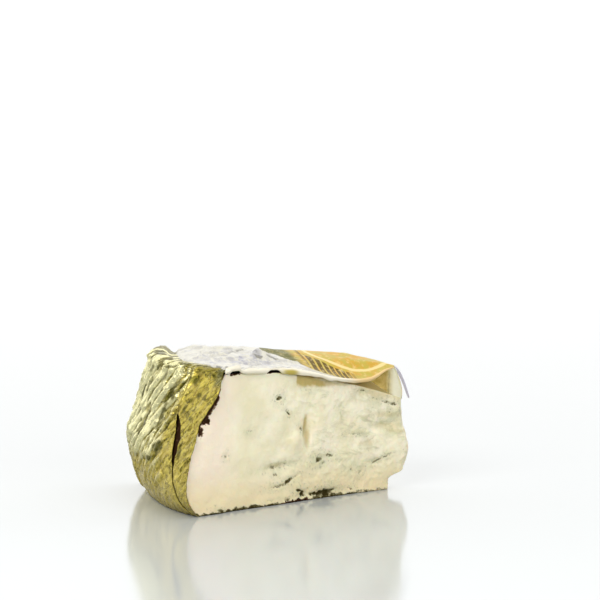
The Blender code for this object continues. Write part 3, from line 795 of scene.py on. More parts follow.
# the tear: height, degrees round from the near cut, half its opening
tear = (
    (0.00 * cm, 0.8, 0.50 * mm), (0.45 * cm, 1.8, 0.50 * mm), (1.00 * cm, 2.8, 0.50 * mm),
    (1.60 * cm, 3.7, 0.50 * mm), (2.60 * cm, 4.8, 0.60 * mm), (3.20 * cm, 5.3, 1.60 * mm),
    (4.30 * cm, 5.9, 3.10 * mm), (5.00 * cm, 7.2, 2.20 * mm), (5.80 * cm, 9.3, 0.00 * mm),
)


# the patches below are painted shade
# dark patches of the foil: distance round from the near cut and height (cm), half length,
# half width, tilt (degrees), strength
foilShades = (
    (9.00, 9.40, 1.00, 0.35, 0, 0.9), (4.90, 8.15, 0.45, 0.20, 10, 0.8), (5.80, 9.35, 0.50, 0.18, 20, 0.8),
    (3.70, 9.20, 0.45, 0.45, 0, 1.0), (1.70, 9.25, 1.40, 0.28, 0, 0.7), (0.70, 7.85, 0.35, 0.20, -40, 0.6),
    (2.30, 7.45, 0.45, 0.24, 0, 0.7), (3.15, 6.90, 0.60, 0.14, 65, 1.1), (3.90, 6.55, 0.65, 0.24, 60, 0.9),
    (6.10, 6.30, 0.65, 0.15, 55, 0.9), (8.10, 6.30, 0.55, 0.20, 50, 0.7), (6.00, 4.50, 1.05, 0.18, 75, 0.9),
    (3.90, 5.35, 0.80, 0.20, 78, 0.7), (3.30, 3.65, 0.50, 0.28, 10, 0.8), (4.20, 2.90, 0.28, 0.16, 0, 0.6),
    (1.05, 3.60, 0.20, 0.40, 0, 0.6), (2.00, 5.80, 0.34, 0.16, 60, 0.6), (1.10, 5.45, 0.28, 0.14, 10, 0.5),
    (1.20, 6.70, 0.22, 0.14, 20, 0.7), (0.55, 6.55, 0.20, 0.12, 0, 0.6), (1.75, 6.35, 0.22, 0.14, 40, 0.6),
    (7.30, 7.60, 0.60, 0.16, 40, 0.6), (7.60, 5.20, 0.70, 0.16, 70, 0.6), (5.00, 7.40, 0.50, 0.14, 60, 0.7),
)


def smallFolds(seed, count):
    # narrow creases that run down the foil beside the big ones
    draw = np.random.default_rng(seed)
    made = []
    for _ in range(count):
        turn, z = draw.uniform(9, 44), draw.uniform(1.8, 8.8)
        length = draw.uniform(0.9, 2.8)
        lean = math.radians(draw.normal(42, 14))
        ending = (turn + math.degrees(length * math.sin(lean) / 16), z - length * math.cos(lean))
        made.append((turn, z, *ending, draw.uniform(1.3, 2.4), draw.uniform(0.5, 1.5)))
    return made


def foldHeight(arc, z, folds, belly):
    height = np.zeros_like(arc)
    for startTurn, startZ, endTurn, endZ, width, rise in folds:
        startArc = math.radians(startTurn) * belly
        runArc = math.radians(endTurn) * belly - startArc
        runZ = (endZ - startZ) * cm
        share = np.clip(((arc - startArc) * runArc + (z - startZ * cm) * runZ) / (runArc**2 + runZ**2), 0, 1)
        away = np.hypot(arc - startArc - runArc * share, z - startZ * cm - runZ * share)
        crest = np.maximum(0, 1 - away / (1.25 * width * mm)) ** 1.25
        height = np.maximum(height, rise * mm * crest)
    return height


def tearAngle(z, side):
    opening = readTable(tear, z, 2) / wheel["nearRind"]["belly"]
    return nearAngle - np.radians(readTable(tear, z)) - side * opening


def flapDepth(share):
    return mix(*foil["flap"], smooth(0.0, 0.5, share))


def rimRise(share):
    return mix(*foil["rimRise"], smooth(0.25, 0.75, share))


def foilPlace(angle, row, folds):
    belly = wheel["nearRind"]["belly"]
    share = np.clip((nearAngle - angle) / wheel["sector"], 0, 1)
    arc = (nearAngle - angle) * belly
    rim = rindRadius(share, np.full_like(share, wheel["height"]))
    way = heading(angle)
    size, depth = foil["pucker"]
    start = topHeight(way * rim[..., None]) - foil["rimStart"]
    # up the side
    z = mix(foil["footZ"], start, np.minimum(row, 1.0))
    crumpled = foldHeight(arc, z, folds, belly) + depth * (1 + flatHills(arc, z, size, 2.0))
    bulge = mix(*foil["rimBulge"], smooth(0.0, 0.5, share)) * smooth(0.55, 1.0, row)
    sideR = rindRadius(share, z) + foil["clearance"] + smooth(0.0, 0.08, row) * crumpled + bulge
    # over the rim
    turn = np.clip(row - 1, 0, 1) * math.pi / 2
    inner = rim - foil["rimInset"]
    rimR = mix(inner, sideR, np.cos(turn) ** foil["rimSquare"])
    rimZ = start + (rimRise(share) + foil["rimStart"]) * np.sin(turn) ** foil["rimSquare"]
    # and down on the top as a flap
    over = np.clip(row - 2, 0, 1)
    flapR = mix(inner, rim - flapDepth(share), over)
    place = way * flapR[..., None]
    lying = foil["clearance"] + depth * (1 + flatHills(place[..., 0], place[..., 1], size, 4.0))
    flapZ = topHeight(place) + mix(rimRise(share), lying, smooth(0.0, foil["flapSettle"], over))
    r = np.where(row <= 1, sideR, np.where(row <= 2, rimR, flapR))
    height = np.where(row <= 1, z, np.where(row <= 2, rimZ, flapZ))
    return np.concatenate([way * r[..., None], height[..., None]], -1), arc, z, crumpled


def foilFields(flat):
    # how silver, how lively and how dark each place is, by its place round and up the foil
    turn = np.degrees(flat[:, 0] / wheel["nearRind"]["belly"])
    up = flat[:, 1] / cm
    silver = smooth(8.0, 15.0, turn) * smooth(2.2, 3.8, up) * (1 - 0.3 * smooth(38, 44, turn))
    # the corner beside the paste is made pale as well, a painted highlight on its crease
    silver = np.maximum(silver, 0.9 * smooth(2.2, 0.6, turn) * smooth(7.0, 7.6, up))
    lively = 0.35 + 0.65 * smooth(7.0, 13.0, turn) * smooth(1.0, 3.0, up)
    lively *= 1 - 0.7 * smooth(8.6, 10.2, up)
    ragged = 0.45 * hills(flat, 2.2 * mm, 61.0) + 0.3 * hills(flat, 5.0 * mm, 62.0)
    shade = markStrength(foilShades, flat[:, 0] / cm, up, ragged)
    return {"silver": silver, "lively": lively, "shade": shade}


def makeFoil():
    belly = wheel["nearRind"]["belly"]
    sideRows, rimRows, flapRows = foil["rows"]
    side, rim, flap = np.arange(sideRows), np.arange(rimRows), np.arange(flapRows + 1)
    row = np.concatenate([side / sideRows, 1 + rim / rimRows, 2 + flap / flapRows])[:, None]
    z = np.minimum(row, 1) * (wheel["height"] - foil["rimStart"])
    size, depth = foil["edgeRagged"]
    ragged = depth * flatHills(z, z * 0 + 1, size, 9.0) / belly
    overhang = readTable(foilEdge, z) / belly
    nearSide = nearAngle + mix(overhang + ragged, -foil["flapTuck"], smooth(2.0, 2.3, row))
    farSide = farAngle - foil["farOverhang"] / wheel["fullRind"]["belly"]
    strip, rest = foil["columns"]
    near = mix(nearSide, tearAngle(z, -1), np.linspace(0, 1, strip + 1))
    far = mix(tearAngle(z, 1), farSide, np.linspace(0, 1, rest + 1))
    folds = [*bigFolds, *smallFolds(5, 60)]
    parts, fields, ids = [], [], []
    for angle in (near, far):
        rows = np.broadcast_to(row, angle.shape)
        points, arc, height, rise = foilPlace(angle, rows, folds)
        beyond = np.maximum(rows - 1, 0) * 2 * cm
        # the first and last column of each part, its cut edges, are marked to be darker and rougher
        darkened = np.zeros(angle.shape)
        darkened[:, [0, -1]] = 1.0
        fields.append(np.stack([arc, height + beyond, rise, darkened], -1).reshape(-1, 4))
        ids.append(numbered(points, sum(len(part) for part in parts)))
        parts.append(points.reshape(-1, 3))
    # above the tear the two parts are one
    whole = (z >= max(tear)[0]).ravel()
    ids[1][whole, 0] = ids[0][whole, -1]
    arc, up, rise, darkened = np.concatenate(fields).T
    flat = np.stack([arc, up, 0 * arc], -1)
    values = {"flat": flat, "rise": rise, "darkened": darkened, **foilFields(flat)}
    return makePiece("goldFoil", np.concatenate(parts), [gridFaces(grid) for grid in ids], values)


def crumpleTree():
    # pushes a foil along its normals by creases that lean one way, dents and fine embossing
    sizes = {
        "Crease size": 18 * mm, "Crease depth": 7.0 * mm, "Crease lean": 0.6, "Crease stretch": 4.0,
        "Dent size": 5.0 * mm, "Dent depth": 0.7 * mm, "Emboss size": 2.2 * mm, "Emboss depth": 0.16 * mm,
        "Least share": 0.3,
    }
    tree, start, end = newTree("crumpleFoil", sizes)
    get = start.outputs
    patterns = ("Crease", "Dent", "Emboss")
    perMetre = {name: calc(tree, "DIVIDE", 1.0, get[name + " size"]) for name in patterns}
    flat = storedField(tree, "flat", "FLOAT_VECTOR")
    # the foil's flat pattern, turned to the creases' lean, squeezed across them and made to wander
    axis = addNode(tree, "ShaderNodeCombineXYZ", {2: 1.0}).outputs[0]
    turn = {"Vector": flat, "Axis": axis, "Angle": get["Crease lean"]}
    turned = addNode(tree, "ShaderNodeVectorRotate", turn).outputs[0]
    squeeze = addNode(tree, "ShaderNodeCombineXYZ", {0: get["Crease stretch"], 1: 1.0, 2: 1.0}).outputs[0]
    wander = addNode(tree, "ShaderNodeTexNoise", {"Vector": flat, "Scale": 160.0, "Detail": 2.0}).outputs[1]
    run = vectorCalc(tree, "MULTIPLY", turned, squeeze)
    run = vectorCalc(tree, "ADD", run, scaleVector(tree, wander, 4 * mm))
    crease = creased(tree, noiseOf(tree, run, perMetre["Crease"], 1.5))
    crease = times(tree, less(tree, 0.16, crease), get["Crease depth"])
    cells = cellsOf(tree, run, perMetre["Dent"])
    facet = addNode(tree, "ShaderNodeSeparateXYZ", {0: cells.outputs[1]}).outputs[0]
    dent = times(tree, less(tree, cells.outputs[0], 0.4), get["Dent depth"])
    emboss = noiseOf(tree, flat, perMetre["Emboss"], 1.0)
    emboss = times(tree, less(tree, emboss, 0.5), get["Emboss depth"])
    share = calc(tree, "MAXIMUM", storedField(tree, "lively"), get["Least share"])
    push = plus(tree, times(tree, plus(tree, crease, dent), share), emboss)
    offset = scaleVector(tree, addNode(tree, "GeometryNodeInputNormal").outputs[0], push)
    kept = get["Geometry"]
    for name, value in (("push", push), ("facet", facet)):
        inputs = {"Geometry": kept, "Name": name, "Value": value}
        kept = addNode(tree, "GeometryNodeStoreNamedAttribute", inputs).outputs[0]
    moved = addNode(tree, "GeometryNodeSetPosition", {"Geometry": kept, "Offset": offset}).outputs[0]
    finishTree(tree, start, end, moved)
    return tree


foilTones = {
    "gold": tone(212, 194, 86),
    "deep": tone(118, 104, 16),
    "silver": tone(162, 154, 90),
    "dull": tone(92, 88, 30),
    "sheen": tone(222, 217, 166),
    "valleyShade": tone(80, 77, 14),
    "crest": tone(240, 234, 180),
    "foot": tone(232, 210, 112),
    "low": tone(200, 176, 84),
    "darkened": tone(96, 84, 30),
}


def foilMaterial():
    material, tree, shader = newMaterial("crumpledGold")
    flat = fieldOf(tree, "flat", "Vector")
    silver = fieldOf(tree, "silver")
    turn = {"Vector": flat, "Axis": (0, 0, 1), "Angle": foil["creaseLean"]}
    along = addNode(tree, "ShaderNodeVectorRotate", turn).outputs[0]
    along = vectorCalc(tree, "MULTIPLY", along, (1.0, 0.7, 1.0))
    # mottled gold low down and beside the cut, mottled silver on the crumpled part
    mottle = between(tree, noiseOf(tree, along, foil["grain"], 4.0, 0.7, 0.6), 0.40, 0.60)
    blotch = between(tree, noiseOf(tree, flat, foil["blotches"], 3.0, 0.6), 0.42, 0.62)
    gold = blendColours(tree, mottle, foilTones["deep"], foilTones["gold"])
    gold = layer(tree, gold, foilTones["low"], blotch, 0.5)
    pale = blendColours(tree, mottle, foilTones["dull"], foilTones["silver"])
    run, rising, _ = addNode(tree, "ShaderNodeSeparateXYZ", {0: flat}).outputs
    # painted shade over the top of the rim; painted highlight, a paler silver sheen, on the left part that
    # turns to the back light
    high = between(tree, rising, 7.6 * cm, 8.6 * cm)
    turned = times(tree, between(tree, run, 5.0 * cm, 8.0 * cm), scaled(tree, high, -0.8, 1.0))
    pale = layer(tree, pale, foilTones["sheen"], turned, 0.85)
    gold = layer(tree, gold, foilTones["foot"], between(tree, rising, 3.2 * cm, 1.2 * cm), 0.4)
    colour = layer(tree, gold, pale, silver, scaled(tree, turned, 0.35, 0.5))
    # painted highlight on raised creases in a paler silver, and painted shade in the hollows
    raised = scaled(tree, fieldOf(tree, "rise"), 0.8, fieldOf(tree, "push"))
    hollowShade = times(tree, between(tree, raised, 1.15 * mm, 0.25 * mm), scaled(tree, silver, 0.82, 0.18))
    shaded = less(tree, 1.0, times(tree, turned, 0.45))
    colour = layer(tree, colour, foilTones["valleyShade"], hollowShade, shaded)
    # fine creases, with painted shade in their hollows and painted highlight on their edges
    crinkle = creased(tree, noiseOf(tree, along, foil["crinkles"], 3.0, 0.6, 0.5))
    pleats = creased(tree, noiseOf(tree, along, foil["pleats"], 3.0, 0.6, 0.4))
    marked = scaled(tree, silver, 0.35, 0.15)
    colour = layer(tree, colour, foilTones["valleyShade"], between(tree, crinkle, 0.05, 0.0), marked)
    colour = layer(tree, colour, foilTones["crest"], between(tree, pleats, 0.035, 0.0), marked)
    # painted shade on some small facets of the crumpled part and painted highlight on others
    facet = fieldOf(tree, "facet")
    lit = scaled(tree, silver, 0.35, 0.1)
    colour = layer(tree, colour, foilTones["valleyShade"], between(tree, facet, 0.45, 0.1), lit)
    colour = layer(tree, colour, foilTones["crest"], between(tree, facet, 0.6, 0.95), lit)
    # painted shade patches and painted shade over the top, and painted highlight on raised crests where
    # there is no shade
    shade = times(tree, between(tree, fieldOf(tree, "shade"), 0.05, 0.7), 0.85)
    dark = calc(tree, "MAXIMUM", shade, times(tree, high, 0.45))
    colour = blendColours(tree, dark, colour, foilTones["valleyShade"])
    crest = times(tree, between(tree, raised, 1.2 * mm, 1.85 * mm), scaled(tree, silver, 0.7, 0.3))
    colour = layer(tree, colour, foilTones["crest"], crest, less(tree, 1.0, shade))
    # the cut edges are darker and rougher
    darkened = fieldOf(tree, "darkened")
    colour = layer(tree, colour, foilTones["darkened"], darkened, 0.7)
    normal = bumpOf(tree, crinkle, 1.6 * mm, 0.6)
    normal = bumpOf(tree, pleats, 0.6 * mm, 0.4, normal)
    normal = bumpOf(tree, cellsOf(tree, flat, foil["dots"]).outputs["Distance"], 0.22 * mm, 0.35, normal)
    rough = scaled(tree, darkened, 0.3, plus(tree, 0.26, times(tree, mottle, 0.12)))
    setShader(tree, shader, Base_Color=colour, Metallic=0.96, Roughness=rough, Normal=normal)
    return material


crumple = crumpleTree()
goldFoil = makeFoil()
applyTree(goldFoil, crumple, {"Material": foilMaterial(), "Crease lean": foil["creaseLean"]})
addWall(goldFoil, foil["thickness"], 0.0)
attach(goldFoil, "root")
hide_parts("foil")
print("foil made,", len(goldFoil.data.polygons), "faces")

# the printed sheet over the top: its shape, then how many patterns of each kind stand in a metre
sheet = {
    "thickness": 0.2 * mm,
    "rim": (13.35 * cm, 13.30 * cm),
    "rimReach": 9.0 * mm,
    "lieDown": 12.0 * mm,
    "overFoil": 0.9 * mm,
    "tip": 0.45 * cm,
    "tipReach": -0.24 * cm,
    "overhang": (1.2 * mm, 3.2 * mm),
    "clearance": 1.0 * mm,
    "overFlap": 2.4 * mm,
    "wave": (2.0 * cm, 0.6 * mm),
    "edgeTuck": (1.8 * mm, 1.5 * mm),
    "peakPlace": (-8.75 * cm, 0.0),
    "peakHeight": 4.0 * mm,
    "peakSpread": 0.95 * cm,
    "fold": (0.52, 0.16, 1.3 * mm),
    "rows": 190,
    "across": 112,
    "lipRange": (0.8 * cm, 3.0 * cm, 6.5 * cm, 9.0 * cm),
    "lipFree": (9.5 * cm, 11.0 * cm),
    "lipDepth": (2.3 * mm, 2.2 * mm),
    "lipRim": (11.8 * cm, 12.8 * cm),
    "lipGaps": ((9.7 * cm, 0.5 * cm, 0.8), (12.55 * cm, 0.5 * cm, 0.5)),
    "lipCover": 0.2 * mm,
    "lipCovers": (6.8 * cm, 7.6 * cm, 13.0 * cm, 13.4 * cm),
    "underLayer": (8.6, 0.55),
    "lipTurn": math.radians(190),
    "lipAcross": 12,
    "skirtDepth": (2.5 * mm, 20.4 * mm),
    "skirtFrom": 7.0 * cm,
    "skirtOffset": 2.0 * mm,
    "skirtFlare": (1.2 * mm, 5.2 * mm),
    "skirtCurve": 0.6 * math.pi,
    "skirtAcross": 22,
    "skirtRound": 0.46,
    "paintedLightFrom": (-0.75 * cm, -0.10 * cm),
    "tailAt": (0.31, 0.38),
    "tailLength": 1.95 * cm,
    "tailReach": 0.95 * cm,
    "tailWidth": 2.2 * mm,
    "tailFacing": (0.92, -0.35, 0.15),
    "tailRows": 40,
    "wear": 300.0,
    "streaks": 330.0,
    "patches": 110.0,
    "grain": 700.0,
    "backWear": 240.0,
    "backGrain": 500.0,
}
# distance from the axis and height along each long edge (cm)
nearEdge = (
    (14.0, 8.46), (12.5, 8.16), (10.3, 7.99), (8.5, 7.86), (6.8, 7.48), (5.6, 7.14),
    (4.4, 6.92), (3.3, 6.82), (2.6, 6.88), (1.3, 7.20), (0.3, 7.32),
)
farEdge = (
    (14.4, 8.50), (12.0, 8.36), (10.0, 8.32), (8.0, 8.24),
    (5.8, 8.14), (3.2, 8.02), (1.4, 7.62), (0.3, 7.32),
)


# straight folds of the sheet, in plan (cm): both ends, half width, rise (mm)
sheetFolds = (
    (-11.4, 0.4, -8.8, 2.8, 2.6, 1.3), (-8.75, 0.0, -11.1, -3.1, 2.4, 1.2),
    (-8.70, 0.1, -6.50, -0.65, 2.2, 1.1), (-11.9, -3.7, -8.90, -2.50, 2.2, 0.9),
    (-12.2, -1.2, -9.60, -0.50, 2.2, 0.9), (-10.4, -2.5, -7.40, -1.60, 2.0, 0.8),
    (-12.4, 2.6, -10.6, 0.60, 2.4, 0.9), (-8.60, 0.3, -8.10, 2.20, 2.4, 0.9),
    (-12.6, 4.2, -9.60, 2.90, 2.6, 1.0), (-12.9, -2.3, -11.8, 1.90, 2.4, 0.8),
)


def sheetFold(place):
    height = np.zeros(place.shape[:-1])
    for startX, startY, endX, endY, width, rise in sheetFolds:
        start, run = np.array((startX, startY)) * cm, np.array((endX - startX, endY - startY)) * cm
        share = np.clip((place - start) @ run / (run @ run), 0, 1)
        away = np.linalg.norm(place - start - share[..., None] * run, axis=-1)
        height = np.maximum(height, rise * mm * np.maximum(0, 1 - away / (width * mm)))
    return height


def lipShare(r):
    low, full, still, high = sheet["lipRange"]
    return smooth(low, full, r) * (1 - smooth(still, high, r))


def swellBeside(r):
    share = np.maximum(0, 1 - r / rindOutline(wheel["fullRind"], wheel["height"]))
    return paste["tipRadius"][1] * share ** paste["tipSpread"] * smooth(0.5 * cm, 3.0 * cm, r)


def leastClearance(place, r, share):
    rim = rindRadius(share, np.full_like(share, wheel["height"]))
    reach = np.hypot(place[..., 0], place[..., 1])
    past = reach < rim - flapDepth(share) - sheet["rimReach"] / 2
    held = np.where(past, sheet["clearance"], sheet["overFlap"])
    return np.where(r > rim - sheet["rimReach"], rimRise(share) + sheet["clearance"], held)


def foilTop(r, share):
    # height of the foil's upper side, over its rim and on its flap
    rim = rindRadius(share, np.full_like(share, wheel["height"]))
    inner = rim - foil["rimInset"]
    start = wheel["height"] - foil["rimStart"]
    outer = rindRadius(share, np.full_like(share, start)) + foil["clearance"] + foil["rimBulge"][1]
    over = np.clip((r - inner) / (outer - inner), 0, 0.98)
    settled = smooth(0.0, foil["flapSettle"], (inner - r) / (flapDepth(share) - foil["rimInset"]))
    inside = wheel["height"] + mix(rimRise(share), foil["clearance"] + foil["pucker"][1], settled)
    onRim = start + (rimRise(share) + foil["rimStart"]) * np.sqrt(1 - over**2) ** foil["rimSquare"]
    return np.where(r > inner, onRim, inside)


def sheetPlace(row, across):
    row, across = np.broadcast_arrays(row, across)
    rim = mix(*sheet["rim"], smooth(0.0, 0.5, across))
    r = mix(rim, sheet["tip"], row)
    spread = swellBeside(r)
    near = r[..., None] * nearAlong + (mix(*sheet["overhang"], lipShare(r)) + spread)[..., None] * nearOut
    far = r[..., None] * farAlong + (sheet["skirtOffset"] + spread)[..., None] * farOut
    middle = np.stack([sheet["tipReach"] + sheet["tip"] - r, 0 * r], -1)
    place = mix(near, far, across[..., None])
    place = place + (middle - mix(near, far, 0.5)) * (4 * across * (1 - across))[..., None]
    z = mix(readTable(nearEdge, r / cm), readTable(farEdge, r / cm), smooth(-0.15, 1.0, across)) * cm
    # a fold behind the point, a soft wave, the peak and the straight folds
    at, wide, high = sheet["fold"]
    fold = np.exp(-(((across - at) / wide) ** 2))
    z = z + high * fold * smooth(0.3 * cm, 2.0 * cm, r) * (1 - smooth(4.0 * cm, 7.5 * cm, r))
    length, size = sheet["wave"]
    z = z + size * (0.25 + np.sin(math.pi * across)) * flatHills(place[..., 0], place[..., 1], length, 6.0)
    away = np.hypot(*(place - sheet["peakPlace"]).transpose(2, 0, 1)) / sheet["peakSpread"]
    z = z + sheet["peakHeight"] * np.maximum(0, 1 - away) + sheetFold(place)
    lowest = topHeight(place) + leastClearance(place, r, across)
    held = np.maximum(smooth(-1 * mm, 1 * mm, -(place @ nearOut)), smooth(*sheet["lipFree"], r))
    z = mix(z, np.maximum(z, lowest), held)
    # the edge over the rim lies down on the foil
    reach = np.hypot(place[..., 0], place[..., 1])
    lying = 1 - smooth(0.0, sheet["lieDown"], rim - r)
    z = mix(z, foilTop(reach, across) + sheet["overFoil"], lying)
    # and its last part is tucked down into the creases
    run, drop = sheet["edgeTuck"]
    z = z - drop * (1 - smooth(0.0, run, rim - r))
    return np.concatenate([place, z[..., None]], -1)


def lipPlace(top, share):
    # the near edge rolls outwards, down and back under itself
    r = top[..., :2] @ nearAlong
    depth = mix(*sheet["lipDepth"], lipShare(r)) * (1 - 0.3 * smooth(*sheet["lipRim"], r))
    depth = depth * (0.35 + 0.65 * smooth(0.3 * cm, 2.6 * cm, r))
    depth = depth * (1 + 0.4 * flatHills(r, 0 * r, 6 * mm, 12.0))
    # over the thick end it reaches down to the paste's upper edge, but for two gaps
    covered = top[..., 2] - topHeight(r[..., None] * nearAlong) + sheet["lipCover"]
    low, full, still, high = sheet["lipCovers"]
    depth = mix(depth, np.maximum(depth, covered), smooth(low, full, r) * (1 - smooth(still, high, r)))
    for at, wide, gap in sheet["lipGaps"]:
        depth = depth * (1 - gap * np.exp(-(((r - at) / wide) ** 4)))
    turn = sheet["lipTurn"] * share
    out = depth / 2 * np.sin(turn)
    down = depth / 2 * (1 - np.cos(turn))
    return top + np.concatenate([out[..., None] * nearOut, -down[..., None]], -1)


def skirtPlace(top, outward, share):
    nearTip = 1 - smooth(0.0, sheet["skirtFrom"], np.hypot(top[..., 0], top[..., 1]))
    flare = mix(*sheet["skirtFlare"], nearTip) * np.sin(sheet["skirtCurve"] * share)
    down = mix(*sheet["skirtDepth"], nearTip) * share
    return top + np.concatenate([outward * flare[..., None], -down[..., None]], -1)


def makeSkirt(grid, top, down):
    # hangs from the far edge, turning to face outwards from the end's middle round the point
    centre = (grid[-1, 0] + grid[-1, -1]) / 2
    radial = top[:, :2] - centre[:2]
    radial = radial / np.linalg.norm(radial, axis=1, keepdims=True)
    ahead = smooth(0, 1, (np.arange(len(top)) - (sheet["rows"] - 6)) / 12)[:, None]
    outward = mix(np.broadcast_to(farOut, radial.shape), radial, ahead)
    top, outward = (np.repeat(values[:, None], len(down), 1) for values in (top, outward))
    return skirtPlace(top, outward, down[None])


def makeTail(grid):
    # the loose strip at the point turns its flat side to the near cut
    first, last = (grid[-1, round(at * sheet["across"])] for at in sheet["tailAt"])
    t = np.linspace(0, 1, sheet["tailRows"] + 1)
    fallen = np.stack([sheet["tailReach"] * t**0.8, 0 * t, -sheet["tailLength"] * t**1.2], -1)
    side = (last - first) / np.linalg.norm(last - first) * sheet["tailWidth"]
    turned = sheet["tailWidth"] * np.array(sheet["tailFacing"])
    facing = mix(side, turned, smooth(0.0, 0.3, t)[:, None])
    across = np.array([-0.5, -0.17, 0.17, 0.5])[None, :, None]
    width = ((1 - 0.45 * t)[:, None] * facing)[:, None] * across
    curl = 0.25 * mm * np.array([0, 1, 1, 0])[None, :, None] * np.array([1.0, 0, 0.3])
    return (mix(first, last, 0.5) + fallen)[:, None] + width + curl


def makeSheet():
    rows, across = sheet["rows"], sheet["across"]
    grid = sheetPlace(np.linspace(0, 1, rows + 1)[:, None], np.linspace(0, 1, across + 1)[None])
    share = np.linspace(1, 0, sheet["lipAcross"] + 1)[:-1]
    lip = lipPlace(np.repeat(grid[:, :1], len(share), 1), share[None])
    body = np.concatenate([lip, grid], 1)
    plan = body.copy()
    plan[:, : len(share), :2] += (share * 3 * mm)[None, :, None] * nearOut
    rolled = np.zeros(body.shape[:2])
    rolled[:, : len(share)] = share
    rolled = rolled.ravel()
    # the far edge and half of the end hang down as a skirt
    ids = numbered(body)
    edgeIds = np.concatenate([ids[:-1, -1], ids[-1, ::-1][: round(sheet["skirtRound"] * across)]])
    down = np.linspace(0, 1, sheet["skirtAcross"] + 1)[1:]
    skirt = makeSkirt(grid, body.reshape(-1, 3)[edgeIds], down)
    tail = makeTail(grid)
    bodySize, skirtSize, tailSize = (part[..., 0].size for part in (body, skirt, tail))
    hanging = slice(bodySize, bodySize + skirtSize)
    skirtIds = np.concatenate([edgeIds[:, None], numbered(skirt, bodySize)], 1)
    faces = [gridFaces(ids), gridFaces(skirtIds), gridFaces(numbered(tail, bodySize + skirtSize))]
    points = np.concatenate([part.reshape(-1, 3) for part in (body, skirt, tail)])
    flat = np.concatenate([plan.reshape(-1, 3)[:, :2], points[bodySize:, :2]])
    flat = np.concatenate([flat, np.zeros((len(flat), 1))], 1)
    flat[hanging, 2] = np.repeat(down[None] * 1.5 * cm, len(edgeIds), 0).ravel()
    lively = 0.25 + 0.75 * smooth(6.0, 8.5, -flat[:, 0] / cm)
    lively[:bodySize] *= 1 - 0.85 * np.minimum(1, rolled * 4)
    lively[bodySize + skirtSize :] = 0.0
    # 0 on the sheet, 1 on its lip, 2 on its skirt and 3 on the strip
    kind = [np.minimum(1, rolled * 5), np.full(skirtSize, 2.0), np.full(tailSize, 3.0)]
    values = {"flat": flat, "lively": lively, "part": np.concatenate(kind)}
    ragged = 0.5 * hills(flat, 2.4 * mm, 63.0) + 0.3 * hills(flat, 1.2 * mm, 64.0)
    for name, facets in (("greyShade", greyShadeFacets), ("lilacShade", lilacShadeFacets)):
        values[name] = markStrength(facets, flat[:, 0] / cm, flat[:, 1] / cm, ragged)
    # a gold layer shows below the lip for a short way
    at, wide = sheet["underLayer"]
    along = points[:, :2] @ nearAlong / cm
    values["under"] = np.exp(-(((along - at) / wide) ** 4)) * (values["part"] < 1.5)
    values["under"][:bodySize] *= smooth(0.15, 0.4, rolled)
    return makePiece("printedSheet", points, faces, values)


# painted shade on creases and facets of the sheet, placed in plan about the wheel's axis (cm):
# x, y, half length, half width, tilt (degrees), strength
greyShadeFacets = (
    (-8.95, -0.62, 0.26, 0.15, 25, 1.2), (-8.98, -0.25, 0.16, 0.30, 0, 0.5),
    (-8.60, -0.45, 0.30, 0.20, 20, 0.45), (-8.02, -0.34, 0.50, 0.15, 0, 0.75),
    (-7.60, -0.60, 0.40, 0.12, 8, 0.6), (-8.50, 0.30, 0.45, 0.08, 50, 0.5),
    (-10.4, 0.95, 0.55, 0.14, -42, 0.60), (-9.75, 1.62, 0.50, 0.17, -46, 0.75),
    (-9.20, 2.20, 0.40, 0.15, -43, 0.7), (-10.6, -4.05, 0.95, 0.07, -38, 0.6),
    (-9.60, -3.00, 0.60, 0.06, -38, 0.5), (-11.9, 1.60, 0.40, 0.15, -40, 0.4),
    (-12.36, -4.50, 0.32, 0.06, 70, 1.3), (-12.12, -5.12, 0.15, 0.05, 70, 1.0),
    (-9.60, -1.60, 0.60, 0.06, 12, 0.5), (-10.6, -2.10, 0.80, 0.06, 24, 0.5),
    (-9.90, -0.60, 0.60, 0.06, -14, 0.6),
)
lilacShadeFacets = (
    (-10.2, -1.80, 2.10, 1.60, 20, 1.0), (-8.60, -1.30, 1.20, 0.80, 0, 0.7),
    (-12.0, -2.40, 1.00, 1.80, 0, 0.6), (-6.70, -1.55, 0.60, 0.30, 0, 0.7),
)

sheetTones = {
    "white": tone(201, 197, 180),
    "lavenderShade": tone(132, 131, 150),
    "greyShade": tone(76, 74, 54),
    "olive": tone(96, 94, 16),
    "gold": tone(184, 166, 70),
    "orange": tone(200, 158, 62),
    "cream": tone(228, 206, 144),
    "stroke": tone(100, 80, 6),
    "paintedLitPale": tone(250, 243, 198),
    "lip": tone(232, 225, 204),
    "peach": tone(228, 198, 142),
    "back": tone(244, 222, 148),
    "backDark": tone(210, 188, 96),
    "tail": tone(200, 196, 206),
}
# the print: a disc about a place in plan, a pale line round it, a band of strokes, an outer field
medallion = {
    "centre": (-2.6 * cm, 1.95 * cm),
    "disc": 2.50 * cm,
    "line": 0.22 * cm,
    "band": (2.98 * cm, 4.55 * cm),
    "outer": (4.65 * cm, 0.6 * cm),
    "outerBack": (0.3 * cm, 1.8 * cm),
    "soft": 0.5 * mm,
    "strokesFrom": -6.0 * cm,
    "strokesLean": -0.05,
    "strokesPerMetre": (210.0, 2800.0),
    "strokesEnd": (-3.8 * cm, -2.8 * cm),
    "oliveFrom": (-5.9 * cm, -6.5 * cm),
}


